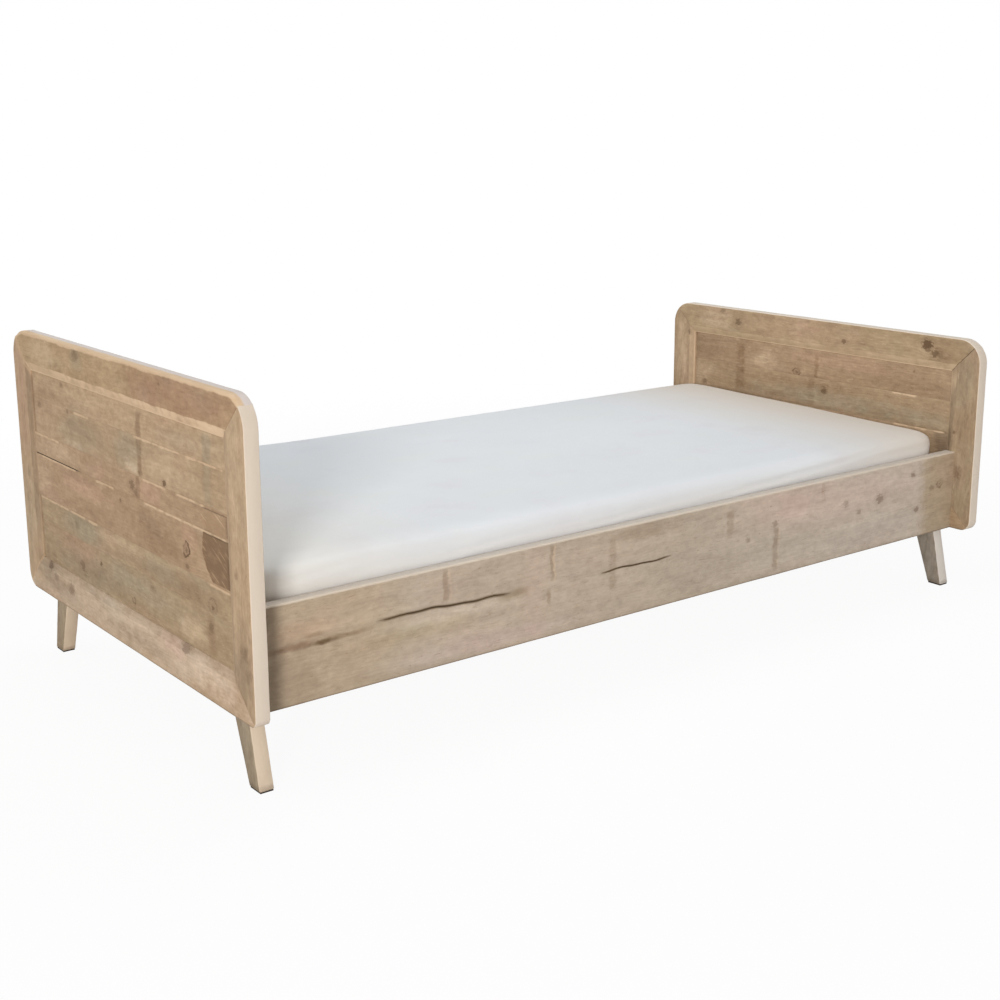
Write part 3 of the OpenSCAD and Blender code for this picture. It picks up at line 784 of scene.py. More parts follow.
board_tones = [((202, 175, 144), (154, 127, 98)),
               ((194, 168, 137), (148, 122, 94)),
               ((190, 162, 132), (146, 118, 91)),
               ((188, 160, 130), (144, 116, 89)),
               ((186, 163, 132), (142, 118, 91)),
               ((181, 158, 128), (137, 114, 86))]
head_board_knots = [
    [(280, 652, 6, "soft", 0.4)],
    [(-93, 531, 6, "dark", 0.35), (-203, 531, 6, "dark", 0.75), (413, 589, 7, "soft", 0.35),
     (255, 598, 5, "soft", 0.4)],
    [(-55, 500, 10, "dark", 0.5), (-68, 489, 8, "soft", 0.5)],
    [(-283, 419, 12, "ring", 0.95), (5, 456, 4, "dark", 0.6), (-283, 389, 6, "dark", 0.5)],
    [(-379, 337, 13, "ring", 0.2), (-381, 333, 5, "dark", 0.6), (245, 352, 8, "soft", 0.35)],
    [(125, 296, 6, "dark", 0.7), (225, 269, 11, "dark", 0.45), (-31, 257, 7, "ring", 0.5),
     (-125, 306, 9, "soft", 0.4), (-371, 295, 9, "soft", 0.5)]]
head_board_stains = [
    [(380, 618, 90, 10, old_brown, 0.3), (-300, 625, 120, 20, old_grey, 0.35)],
    [(180, 560, 120, 30, old_grey, 0.45), (-40, 565, 50, 30, old_grey, 0.5),
     (-240, 560, 100, 30, old_pale, 0.25), (-60, 535, 30, 10, old_pale, 0.6),
     (230, 533, 40, 8, old_pale, 0.4)],
    [(-140, 500, 40, 20, old_pink, 0.6), (120, 495, 50, 18, old_pink, 0.4),
     (350, 500, 100, 20, old_pale, 0.3)],
    [(200, 445, 80, 16, old_pink, 0.6), (-170, 410, 100, 26, old_brown, 0.4),
     (420, 420, 40, 30, old_pale, 0.4), (120, 405, 100, 16, old_brown, 0.25),
     (-300, 450, 30, 20, old_pink, 0.4)],
    [(210, 352, 80, 24, old_grey, 0.8), (-300, 345, 60, 20, old_brown, 0.35),
     (-170, 350, 70, 20, old_grey, 0.6), (20, 360, 100, 14, old_pale, 0.25)],
    [(220, 275, 90, 36, old_brown, 0.3), (200, 260, 120, 30, old_grey, 0.5),
     (-300, 270, 50, 20, old_pale, 0.5), (-130, 290, 100, 30, old_grey, 0.5),
     (30, 290, 100, 30, old_grey, 0.35)]]
head_board_bars = [
    [(-100, 10, 600, 655, old_brown, 0.6), (-383, 15, 600, 660, old_grey, 0.5)],
    [(-97, 9, 530, 600, old_brown, 0.7), (-383, 14, 526, 600, old_grey, 0.4)],
    [(-83, 8, 476, 524, old_brown, 0.7)], [], [],
    [(-371, 14, 240, 318, old_brown, 0.35)]]
head_worn = [
    [],
    [(145, 221), (-443, -300), (-270, -75)],
    [(317, 461), (-203, -107), (-363, -253)],
    [(-443, -107), (37, 125), (230, 440)],
    [(133, 477), (-451, -363)], []]
open_joint = (0.213, 0.465)
head_bands = {2: ((158, 130, 101), (206, 178, 147), 0.55),
              3: ((122, 96, 71), (168, 140, 109), 0.92)}
head_board_looks = (head_board_knots, head_board_stains, head_board_bars, head_worn, board_tones)
for piece, node in panel_boards("head", 21, head_to_bed, head_board_looks, head_bands,
                                opened=2):
    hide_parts(node)
    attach(piece, "frame")


# Boards in the footboard: four boards of near equal width, joined the same way. The
# mattress hides the lower two.
foot_board_knots = [
    [(53, 484, 11, "ring", 0.6), (53, 484, 6, "dark", 0.5), (-339, 538, 4, "dark", 0.4)],
    [(-43, 446, 10, "dark", 0.7), (409, 410, 8, "soft", 0.6)],
    [(210, 360, 9, "dark", 0.5)],
    [(-180, 270, 10, "ring", 0.6)]]
foot_board_stains = [
    [(400, 510, 50, 40, old_brown, 0.3), (-100, 530, 200, 20, old_pink, 0.3),
     (170, 500, 50, 30, old_pale, 0.3)],
    [(-50, 425, 220, 22, old_grey, 0.75), (-360, 420, 120, 20, old_grey, 0.5),
     (420, 440, 60, 20, old_pale, 0.3)],
    # On the third board, the dark stain at its front end is painted shadow in the gap behind the
    # mattress's foot corner.
    [(100, 360, 200, 30, old_grey, 0.5), (-435, 365, 30, 35, (104, 86, 68), 0.7)],
    [(-200, 280, 200, 30, old_grey, 0.5)]]
foot_board_bars = [
    [(268, 15, 478, 540, old_brown, 0.8), (-15, 6, 478, 540, old_brown, 0.6)],
    [(268, 15, 410, 474, old_brown, 0.7), (0, 10, 400, 474, old_brown, 0.3)], [], []]
foot_worn = [
    [],
    [(-350, -275)],
    [(-440, -283)], []]
foot_tones = [((180, 153, 124), (131, 106, 80)),
              ((181, 156, 126), (134, 110, 83)),
              ((184, 158, 128), (140, 114, 87)),
              ((182, 158, 128), (138, 114, 87))]
foot_board_looks = (foot_board_knots, foot_board_stains, foot_board_bars, foot_worn, foot_tones)
for piece, node in panel_boards("foot", 41, foot_to_bed, foot_board_looks):
    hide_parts(node)
    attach(piece, "frame")


# Side rails: whole scaffold boards on edge, greyer than the panels, with drying cracks
# along the grain and dark marks across it where poles once lay.
rail_low, rail_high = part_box("side_rail_front")
rail_out = rail_low[1]
rail_in = rail_high[1]
rail_floor = rail_low[2]
rail_top = rail_high[2]
rail_half = rail_high[0]
rail_light = (202, 186, 167)
rail_dark = (154, 137, 120)
rail_pink = (190, 166, 150)
rail_grey = (168, 156, 140)
rail_warm = (170, 149, 122)
rail_cool = (204, 190, 178)
rail_cap = (206, 194, 180)
rail_cap_painted_shade = (192, 182, 171)
crack_dark = (98, 78, 48)
crack_depth = 0.007
crack_lip = 0.0015
hairline = 0.0003
cracks = [(-0.750, -0.420, 0.2773, 0.2636, 0.0017), (-0.195, 0.025, 0.2600, 0.2590, 0.0012)]


def crack_line(x):
    """Height of the line that the cracks follow."""
    points = [(-rail_half, 0.278), (-0.750, 0.2773), (-0.420, 0.2636), (-0.195, 0.2600),
              (0.025, 0.2590), (rail_half, 0.259)]
    wave = 0.0014 * sin(x * 38) + 0.0007 * sin(x * 91 + 1)
    dip = 0.005 * min(1.0, max(0.0, (-0.69 - x) / 0.06)) ** 2
    for (x0, z0), (x1, z1) in zip(points, points[1:]):
        if x <= x1:
            share = (x - x0) / (x1 - x0)
            return z0 + (z1 - z0) * share + wave - dip
    return points[-1][1]


def crack_width(x):
    for x0, x1, _, _, half in cracks:
        if x0 < x < x1:
            share = (x - x0) / (x1 - x0)
            taper = sin(pi * share) ** 0.7
            return half * taper * (1 + 0.3 * waver(x * 40, 7, 7))
    return 0.0


def rail_mesh(name, side, material, seed):
    stations = steps(-rail_half, rail_half, 0.012)
    stations = sorted(set(round(s, 5) for s in stations + steps(-0.74, 0.04, 0.005)))
    loops = []
    for x in stations:
        line = crack_line(x) if side < 0 else 0.26
        open_w = crack_width(x) if side < 0 else 0.0
        wear = 0.0022 + 0.0009 * waver(x * 10, seed, 2)

        def face(z):
            return 0.00035 * (1 + waver(x * 7, z * 25, seed))

        rows = evenly(rail_floor + wear, line - 0.010, 7)[1:]
        out = [(0.0 + wear, rail_floor), (0.3 * wear, rail_floor + 0.3 * wear),
               (face(rail_floor), rail_floor + wear)]
        out += [(face(z), z) for z in rows]
        half = max(open_w, hairline)
        deep = crack_depth if open_w > hairline else 0.0
        out += [(face(line), line - half - crack_lip), (face(line), line - half),
                (face(line) + deep * 0.9, line - half * 0.3),
                (face(line) + deep, line), (face(line) + deep * 0.9, line + half * 0.3),
                (face(line), line + half), (face(line), line + half + crack_lip)]
        out += [(face(z), z) for z in evenly(line + 0.010, rail_top - wear, 6)[:-1]]
        out += [(face(rail_top), rail_top - wear), (0.3 * wear, rail_top - 0.3 * wear),
                (wear, rail_top - face(rail_top) * 0.5)]
        thick = rail_in - rail_out
        inside = [(thick - wear, rail_top), (thick - 0.3 * wear, rail_top - 0.3 * wear),
                  (thick, rail_top - wear)]
        inside += [(thick, z) for z in evenly(rail_top - wear, rail_floor + wear, 8)[1:]]
        inside += [(thick - 0.3 * wear, rail_floor + 0.3 * wear), (thick - wear, rail_floor)]
        ring = out + inside
        loops.append([(x, side * (-rail_out - y), z) for y, z in ring])
    return loft(name, loops, material, capped=True)


def rail_wood(name, seed, knots, stains, bars, side):
    """Skin of a side rail, with its cracks and its worn upper arris."""
    wood = Wood(name, "x", "z", seed, rail_light, rail_dark)
    wood.grey, wood.pink, wood.contrast = rail_grey, rail_pink, 0.62
    wood.grain(knots, stains, bars, power=0.7)
    if side < 0:
        for x0, x1, z0, z1, half in cracks:
            slope = (z1 - z0) / (x1 - x0)
            wave = (wood.s * 38).math("SINE") * 0.0014 + (wood.s * 91 + 1).math("SINE") * 0.0007
            dip = ((wood.s * -1 - 0.69) / 0.06).most(0.0).least(1.0)
            line = (wood.s - x0) * slope + z0 + wave - dip * dip * 0.005
            off = abs(wood.t - line + wood.ragged * 0.002)
            share = wood.s.between(x0 + 0.015, x1 - 0.015, 0.015)
            wood.lay(off.rise(half * 3.2, half * 0.8) * share * 0.8, crack_dark)
        end = (wood.s + wood.ragged * 0.04 + wood.uneven * 0.05).rise(0.865, 0.925)
        wood.wash(end * 0.7, rail_warm)
        foot_end = (wood.s + wood.uneven * 0.2).rise(-0.1, 0.7) * 0.45
        wood.wash(foot_end * (1 - end), rail_cool)
        head_end = (wood.s + wood.uneven * 0.08 + wood.ragged * 0.03).rise(-0.62, -0.80)
        wood.wash(head_end * 0.6, rail_warm)
    over = rail_top - wood.t
    out = -rail_out - abs(wood.d)
    arris = (over * over + out * out) ** 0.5 + wood.ragged * 0.003
    on_top = over.rise(0.0015, 0.0008)
    wood.lay(on_top * 0.75, rail_cap)
    # Painted shade along the inner edge of the top, where the mattress shades it.
    wood.lay(on_top * (out + wood.ragged * 0.004).rise(0.007, 0.012) * 0.7, rail_cap_painted_shade)
    wood.lay(arris.rise(0.0040, 0.0024) * 0.7, edge_pale)
    # Greyer and darker towards the lower edge.
    low_greying = (wood.t + wood.ragged * 0.02).rise(rail_floor + 0.020, rail_floor)
    wood.lay(low_greying * 0.25, old_grey)
    # Painted shade along the lower arris.
    painted_shade_at_foot(wood, rail_floor)
    return wood.done()


front_knots = [(-868, 258, 4, "dark", 0.5), (348, 275, 10, "dark", 0.35),
    (259, 251, 6, "soft", 0.4), (596, 282, 9, "soft", 0.35), (645, 254, 6, "dark", 0.3),
    (721, 272, 11, "dark", 0.45), (847, 314, 6, "dark", 0.45), (868, 223, 7, "dark", 0.5),
    (956, 275, 10, "ring", 0.5), (925, 268, 8, "soft", 0.4)]
front_stains = [(-868, 259, 22, 4, (108, 88, 62), 0.8), (-820, 262, 45, 4, (128, 106, 78), 0.55),
    (-885, 277, 20, 3, (128, 106, 80), 0.4), (-930, 262, 50, 6, (140, 112, 92), 0.6),
    (-910, 290, 60, 18, (184, 158, 138), 0.5), (-780, 285, 110, 8, rail_light, 0.4),
    (-930, 200, 50, 70, (150, 132, 116), 0.5), (-410, 261, 35, 8, (134, 114, 86), 0.55),
    (-660, 232, 120, 16, (166, 150, 120), 0.5), (-500, 175, 220, 16, (186, 168, 156), 0.7),
    (-520, 253, 120, 8, rail_light, 0.4), (-363, 250, 30, 120, rail_pink, 0.4),
    (-50, 330, 90, 18, old_brown, 0.25), (200, 220, 250, 50, rail_grey, 0.4),
    (550, 300, 250, 40, rail_pink, 0.5), (650, 190, 200, 30, rail_grey, 0.5),
    (-600, 245, 80, 12, rail_light, 0.4)]
pole_mark = (142, 120, 98)
# The first two bars are painted shadow, where the headboard shades the rail's head end; the rest are
# pole marks.
front_bars = [(-994, 10, 285, 350, grime_and_shade, 0.8), (-985, 26, 140, 360, (140, 124, 106), 0.5),
    (-588, 6, 282, 343, pole_mark, 0.5), (-578, 3, 282, 343, old_pale, 0.25),
    (-318, 4, 270, 343, pole_mark, 0.35), (-312, 3, 270, 343, old_pale, 0.3),
    (-329, 5, 220, 250, pole_mark, 0.4), (-152, 9, 215, 330, pole_mark, 0.25),
    (201, 9, 268, 330, pole_mark, 0.5), (353, 8, 165, 262, pole_mark, 0.5),
    (363, 4, 165, 262, old_pale, 0.2), (512, 6, 300, 345, pole_mark, 0.4)]
back_knots = [(-620, 300, 10, "dark", 0.5), (-150, 230, 12, "ring", 0.5),
    (420, 290, 8, "dark", 0.5), (780, 240, 10, "dark", 0.4)]
back_stains = [(-300, 250, 300, 50, rail_grey, 0.4), (500, 280, 250, 50, rail_pink, 0.4)]
back_bars = [(-400, 8, 180, 330, pole_mark, 0.5), (300, 7, 240, 330, pole_mark, 0.5)]
for side, word, knots, stains, bars in ((-1, "front", front_knots, front_stains, front_bars),
                                        (1, "back", back_knots, back_stains, back_bars)):
    node = "side_rail_" + word
    material = rail_wood("old_wood_" + node, 60 + side, knots, stains, bars, side)
    piece = rail_mesh("old_" + node, side, material, 60 + side)
    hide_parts(node)
    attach(piece, "frame")


# Legs: four boards cut to a taper, upright inside the corners and splayed below them.
# Their broad faces are old wood, and the cut edges and the ends are pale.
leg_places = (("leg_head_front", -1, -1), ("leg_head_back", -1, 1),
             ("leg_foot_front", 1, -1), ("leg_foot_back", 1, 1))
foot_w = 0.040
leg_w = 0.062
splay = 0.033
leg_t = 0.030


def leg_mesh(name, node, end, side, material, seed):
    low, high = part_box(node)
    bottom, top = low[2], high[2]
    loops = []
    rail_face = abs(rail_in)
    for z in [bottom, bottom + 0.0015] + steps(bottom + 0.004, head_low, 0.012) + \
            steps(head_low + 0.004, top - 0.002, 0.012) + [top]:
        share = min(1.0, (z - bottom) / (head_low - bottom))
        outer = rail_face + splay * (1 - share)
        inner = rail_face + (splay - foot_w) * (1 - share) - leg_w * share
        ease = 0.0017 + 0.0006 * waver(z * 30, seed, 4)
        draw = 0.0012 if z in (bottom, top) else 0.0
        dip = 0.0003 * (1 + waver(z * 25, seed, 9))
        x0, x1 = rail_half - leg_t + draw + dip, rail_half - draw
        y0, y1 = inner + draw, outer - draw - (dip if z < head_low else 0)
        ring = [(x0 + ease, y0), (x1 - ease, y0), (x1 - 0.3 * ease, y0 + 0.3 * ease),
                (x1, y0 + ease), (x1, y1 - ease), (x1 - 0.3 * ease, y1 - 0.3 * ease),
                (x1 - ease, y1), (x0 + ease, y1), (x0 + 0.3 * ease, y1 - 0.3 * ease),
                (x0, y1 - ease), (x0, y0 + ease), (x0 + 0.3 * ease, y0 + 0.3 * ease)]
        loops.append([(end * x, side * y, z) for x, y in ring])
    return loft(name, loops, material)


def leg_wood(name, seed, knots, tones):
    """Skin of a leg, with pale sawn edges and a scuffed foot."""
    wood = Wood(name, "z", "y", seed, *tones[:2])
    wood.grain(knots)
    cut = wood.mix(0.5, wood.fresh(), tones[2])
    share = (wood.s * (1 / head_low)).least(1.0)
    outer = abs(rail_in) + splay - share * splay
    inner = abs(rail_in) + splay - foot_w - share * (leg_w + splay - foot_w)
    reach = (outer - abs(wood.t)).least(abs(wood.t) - inner) + wood.ragged * 0.003
    wood.lay(reach.rise(0.0030, 0.0012), cut)
    worn = (wood.s + wood.ragged * 0.012).rise(0.016, 0.006)
    wood.lay(worn * 0.3, grime_and_shade)
    return wood.done()


leg_tones = [((168, 154, 133), (130, 116, 95), (206, 197, 184)),
             ((172, 156, 131), (132, 116, 95), edge_pale),
             ((166, 156, 143), (118, 110, 98), (222, 230, 236)),
             ((182, 160, 132), (140, 120, 96), edge_pale)]
for seed, (node, end, side) in enumerate(leg_places):
    knots = [(28, -500, 6, "dark", 0.7)] if seed == 0 else [(110, side * 460, 5, "soft", 0.5)]
    material = leg_wood("old_wood_" + node, seed + 71, knots, leg_tones[seed])
    piece = leg_mesh("old_" + node, node, end, side, material, seed + 71)
    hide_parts(node)
    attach(piece, "frame")


# Pads: a slip of dark felted plastic nailed under each leg. It spares the floor and
# keeps the leg's end grain dry.
def dress(node, material):
    """Gives a CAD piece that keeps its shape its finish."""
    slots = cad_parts[node].data.materials
    slots.clear()
    slots.append(material)


pad_finish = Finish("dark_pad", 0.9)
felt = pad_finish.speckle(900)
pad_finish.colour(pad_finish.mix(felt, (38, 32, 28), (70, 60, 52)))
pad_finish.relief(felt, 0.0004)
for node in ("pad_head_front", "pad_head_back", "pad_foot_front", "pad_foot_back"):
    dress(node, pad_finish.material)


# Cleats, splines and dowels: planed pine cleats screwed along the rails, and beech
# splines and dowels glued into the joints. All are new wood, hidden inside the frame.
def new_wood(name, along, across, seed, light, dark):
    wood = Wood(name, along, across, seed, light, dark)
    n = seed * 2.3
    wander = wood.grainy(wood.s * 1.1 + n, wood.t * 12, wood.d * 12, 2.0)
    rings = ((wood.t + wander * 0.04) * 900).math("SINE")
    wood.fibres = wood.grainy(wood.s * 14 + n, wood.t * 500, wood.d * 500, 3.0)
    wood.streaks = wood.grainy(wood.s * 3 + n, wood.t * 70, wood.d * 70, 3.0)
    wood.height = wood.fibres * 0.6 + rings * 0.1
    tone = rings * 0.16 + wood.fibres * 0.35 + wood.streaks * 0.35
    wood.skin = wood.mix(tone, dark, light)
    return wood.done()


pine_light = (228, 203, 164)
pine_dark = (196, 160, 116)
beech_light = (222, 190, 150)
beech_dark = (196, 156, 114)
for node in ("cleat_front", "cleat_back"):
    dress(node, new_wood("pine_" + node, "x", "z", 81, pine_light, pine_dark))
for node in ("head_mitre_splines", "foot_mitre_splines"):
    dress(node, new_wood("beech_" + node, "z", "y", 83, beech_light, beech_dark))
dress("rail_dowels", new_wood("beech_rail_dowels", "x", "z", 85, beech_light, beech_dark))


# Screws and washers: zinc plated coach screws through the legs, and yellow screws in
# the cleats.
def metal(name, light, dark, roughness):
    finish = Finish(name, roughness)
    finish.shader.inputs["Metallic"].default_value = 1.0
    cloud = finish.speckle(220, 4.0)
    finish.colour(finish.mix(cloud.rise(0.35, 0.65), dark, light))
    finish.rough(cloud * 0.25 + roughness)
    finish.relief(cloud, 0.0002, 0.3)
    return finish.material


zinc = metal("zinc", (200, 202, 204), (160, 163, 168), 0.3)
yellow_zinc = metal("yellow_zinc", (206, 186, 122), (170, 146, 84), 0.3)
for node in ("panel_coach_screws", "rail_coach_screws", "coach_washers"):
    dress(node, zinc)
dress("cleat_screws", yellow_zinc)


# Slats and tapes: fourteen planed pine slats that lie loose on the cleats, strung on two woven
# tapes so that the base rolls up.
slat_finishes = [new_wood(f"pine_slat_{k}", "y", "x", 90 + k, pine_light, pine_dark)
                 for k in range(4)]
for k in range(14):
    dress(f"slat_{k + 1}", slat_finishes[(k * 3) % 4])

tape_finish = Finish("woven_tape", 0.85)
tx, ty, _ = tape_finish.place()
weave = (ty * 4200).math("SINE") * (tx * 2600).math("SINE") * 0.5 + 0.5
fuzz = tape_finish.speckle(300)
tape_finish.colour(tape_finish.mix(weave * 0.5 + fuzz * 0.4, (186, 180, 166),
                                   (226, 221, 208)))
tape_finish.relief(weave, 0.0004)
for node in ("slat_tape_front", "slat_tape_back"):
    dress(node, tape_finish.material)


# Mattress: a foam core in white knitted ticking, 2 m by 900 mm. It is fuller at the head
# end and along the back, and its own spring swells the faces between the edges.
bed_low, bed_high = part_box("mattress")
bed_half_l = bed_high[0]
bed_half_w = bed_high[1]
bed_z = bed_low[2]
headroom = 0.003
bed_t = bed_high[2] - bed_low[2] - headroom
core_low = 0.0055
crown = 0.007
plan_r = 0.055
rim_r = 0.028
waist = 0.005
foot_r = 0.014
bed_swell = 0.003
least_low = 0.0012
cover_frames = 20


def bed_lean(x, y):
    """How far the top lies above its level place."""
    return 0.0070 - 0.0080 * x + 0.0140 * y


def bed_height(x, y, inset):
    """Height of the top where it lies the inset in from the edge."""
    share = min(1.0, max(0.0, (inset - rim_r) / (bed_half_w - rim_r)))
    return bed_t - crown * (1 - share) ** 2 + bed_lean(x, y)


def core_ring(inset, up, shrink):
    """A ring of the core at a share of its height, or on its top where up is above 1."""
    radius = max(0.004, plan_r - inset)
    points = []
    for k, (sx, sy) in enumerate(((1, 1), (-1, 1), (-1, -1), (1, -1))):
        for j in range(13):
            turn_on = radians(90 * k + 7.5 * j)
            x = sx * (bed_half_l - inset - radius) + radius * cos(turn_on)
            y = sy * (bed_half_w - inset - radius) + radius * sin(turn_on)
            top = bed_height(x, y, inset if up >= 1 else rim_r) - shrink
            z = top if up >= 1 else core_low + (top - core_low) * up
            points.append((x, y, bed_z + z))
    return points


edge_t = bed_t - crown
core_rows = [(foot_r * (1 - sin(radians(t))), foot_r * (1 - cos(radians(t))))
             for t in (0, 45)]
core_rows += [(waist * sin(pi * k / 6), z)
              for k, z in enumerate(evenly(foot_r, edge_t - rim_r, 6))]
core_rows += [(rim_r * (1 - cos(radians(t))),
               edge_t - rim_r + rim_r * sin(radians(t))) for t in (20, 40, 60, 75)]
core_loops = [core_ring(inset + bed_swell, z / edge_t, bed_swell) for inset, z in core_rows]
core_loops += [core_ring(inset, 1.0, bed_swell) for inset in (0.028, 0.05, 0.12, 0.20, 0.30, 0.42)]
ticking = Finish("white_ticking", 0.9)
kx, ky, _ = ticking.place()
knit = (kx * 3000).math("SINE") * (ky * 3000).math("SINE")
ticking.colour(ticking.mix(knit * 0.2 + 0.5, (212, 210, 204), (228, 227, 222)))
ticking.relief(knit * 0.5 + 0.5, 0.0006)
core = loft("mattress_core", core_loops, ticking.material, sharp=180)


def applied(piece):
    """Puts what the modifiers show into the mesh, and drops them."""
    shown = piece.evaluated_get(bpy.context.evaluated_depsgraph_get())
    mesh = bpy.data.meshes.new_from_object(shown)
    piece.modifiers.clear()
    piece.data = mesh
    smooth(mesh)


def swollen(piece, cell, most):
    """Blows the closed mesh up as cloth under pressure, no point farther than most."""
    remesh = piece.modifiers.new("cells", "REMESH")
    remesh.mode = "VOXEL"
    remesh.voxel_size = cell
    applied(piece)
    rest = [v.co.copy() for v in piece.data.vertices]
    cloth = piece.modifiers.new("cover", "CLOTH")
    cloth.settings.quality = 4
    cloth.settings.mass = 0.3
    cloth.settings.use_pressure = True
    cloth.settings.uniform_pressure_force = 4
    cloth.settings.effector_weights.gravity = 0
    cloth.point_cache.frame_start = 1
    cloth.point_cache.frame_end = cover_frames
    for number in range(1, cover_frames + 1):
        bpy.context.scene.frame_set(number)
    applied(piece)
    for vertex, start in zip(piece.data.vertices, rest):
        step = vertex.co - start
        if step.length > most:
            step *= most / step.length
        vertex.co = start + step
        vertex.co.z = max(vertex.co.z, bed_z + least_low)
    piece.modifiers.new("fine", "SUBSURF").levels = 1
    applied(piece)


swollen(core, cell=0.020, most=bed_swell)
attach(core, "mattress")


# Fitted sheet: plain white cotton cut with a dart sewn at each corner. It is stretched
# over the core, turned under it by 95 mm and drawn in by an elastic hem.
sheet_off = 0.0012
sheet_low = 0.0006
tuck = 0.095
hem_r = 0.20


def sheet_grid(across, along):
    """Points of the top as a grid whose outer rows follow the rounded corners."""
    a, b = bed_half_l - rim_r, bed_half_w - rim_r
    spots = {}
    for i in range(along + 1):
        for j in range(across + 1):
            k = min(i, along - i, j, across - j)
            x, y = -a + 2 * a * i / along, -b + 2 * b * j / across
            level_a, level_b = a - 2 * a * k / along, b - 2 * b * k / across
            radius = max(0.0, plan_r - rim_r - (b - level_b))
            over_x, over_y = abs(x) - level_a + radius, abs(y) - level_b + radius
            if radius and over_x > 0 and over_y > 0:
                scale = radius / hypot(over_x, over_y)
                x = copysign(level_a - radius + over_x * scale, x)
                y = copysign(level_b - radius + over_y * scale, y)
            spots[i, j] = (x, y, b - level_b + rim_r)
    return spots


def outward(x, y):
    """The way out across the edge of the top from a point on its rim."""
    a, b = bed_half_l - plan_r, bed_half_w - plan_r
    over = Vector((max(abs(x) - a, 0) * (1 if x > 0 else -1),
                   max(abs(y) - b, 0) * (1 if y > 0 else -1)))
    if abs(x) < a or abs(y) < b:
        over = Vector((0, y)) if abs(y) > bed_half_w - rim_r - 1e-6 else Vector((x, 0))
    return over.normalized()


def hem_point(x, y):
    """Where the thread of cloth that passes the rim at this point ends at the hem."""
    a, b = bed_half_l - tuck - hem_r, bed_half_w - tuck - hem_r
    middle = Vector((max(-a, min(a, x)), max(-b, min(b, y))))
    way = (Vector((x, y)) - middle).normalized()
    return middle + way * hem_r, way


def gather(way, share):
    """Small folds that the elastic draws into the cloth where it turns a corner."""
    bend = 4 * (way.x * way.y) ** 2
    turn_on = atan2(way.y, way.x)
    return 0.0011 * bend * share * (1 + sin(56 * turn_on))


folds = [(0.10, 0.350, 0.90, 0.394, 0.0042), (-0.30, 0.352, 0.02, 0.366, 0.0025),
         (-0.97, 0.372, -0.74, 0.392, 0.0030), (-0.60, 0.356, -0.34, 0.372, 0.0020)]


def slack(x, y, z):
    """How far the cloth stands off the core: loose all over, with a few long folds."""
    lift = 0.0005 * (1 + waver(x * 5, y * 7, 2)) + 0.0003 * (1 + waver(x * 14, y * 17, 4))
    if y < 0.02 - bed_half_w:
        for x0, z0, x1, z1, depth in folds:
            run = (x - x0) / (x1 - x0)
            if 0 < run < 1:
                off = z - z0 - (z1 - z0) * run - 0.003 * waver(x * 7, z0)
                rise = exp(-(off / 0.020) ** 2) - exp(-(off / 0.006) ** 2)
                lift += depth * sin(pi * run) ** 0.6 * rise
    return lift


def beside(key, out, up):
    """The point that lies out from the rim's point and up from the mattress's foot."""
    x, y, _ = grid[key]
    way = outward(x, y)
    share = max(0.0, up) / edge_t
    return (x + way.x * out, y + way.y * out, bed_z + up + bed_lean(x, y) * share + sheet_low)


def next_row(build, ring, points):
    """Joins a ring of corners to new ones at the points, and returns those."""
    fresh = [build.verts.new(point) for point in points]
    for k in range(len(ring)):
        n = (k + 1) % len(ring)
        build.faces.new((ring[k], fresh[k], fresh[n], ring[n]))
    return fresh


along, across = 172, 74
grid = sheet_grid(across, along)
mesh = bpy.data.meshes.new("fitted_sheet")
build = bmesh.new()
verts = {key: build.verts.new((x, y, bed_z + bed_height(x, y, inset) + sheet_off))
         for key, (x, y, inset) in grid.items()}
for i in range(along):
    for j in range(across):
        build.faces.new([verts[key] for key in ((i, j), (i + 1, j), (i + 1, j + 1), (i, j + 1))])
rim = [(i, 0) for i in range(along)] + [(along, j) for j in range(across)]
rim += [(i, across) for i in range(along, 0, -1)] + [(0, j) for j in range(across, 0, -1)]
ring = [verts[key] for key in rim]
rows = [(rim_r * sin(radians(t)), edge_t - rim_r + rim_r * cos(radians(t)))
        for t in (12, 24, 36, 48, 60, 72, 84, 90)]
rows += [(rim_r, z) for z in evenly(edge_t - rim_r, foot_r, 20)[1:]]
rows += [(rim_r - foot_r * (1 - cos(radians(t))),
          foot_r * (1 - sin(radians(t)))) for t in (30, 60, 90)]
for out, up in rows:
    ring = next_row(build, ring, [beside(key, out, up) for key in rim])
upper = len(build.verts)
turned = [beside(key, rim_r - foot_r, 0)[:2] for key in rim]
for share in (0.2, 0.4, 0.6, 0.8, 1.0):
    points = []
    for x, y in turned:
        end, way = hem_point(x, y)
        spot = Vector((x, y)).lerp(end, share)
        points.append((spot.x, spot.y, bed_z + sheet_low + gather(way, share)))
    ring = next_row(build, ring, points)
hem_line = [v.co.copy() for v in ring]
build.verts.index_update()
body = BVHTree.FromObject(core, bpy.context.evaluated_depsgraph_get())
for vertex in list(build.verts)[:upper]:
    near, normal, _, _ = body.find_nearest(vertex.co)
    away = vertex.co - near
    if away.dot(normal) < 0:
        away = -away
    if away.length < 1e-5:
        away = normal
    vertex.co = near + away.normalized() * (sheet_off + slack(*vertex.co))
    vertex.co.z = max(vertex.co.z, bed_z + sheet_low)
bmesh.ops.smooth_vert(build, verts=list(build.verts)[:upper], factor=0.5, use_axis_x=True,
                      use_axis_y=True, use_axis_z=True)
bmesh.ops.recalc_face_normals(build, faces=build.faces)
build.to_mesh(mesh)
build.free()
smooth(mesh)
sheet = put("fitted_sheet", mesh)

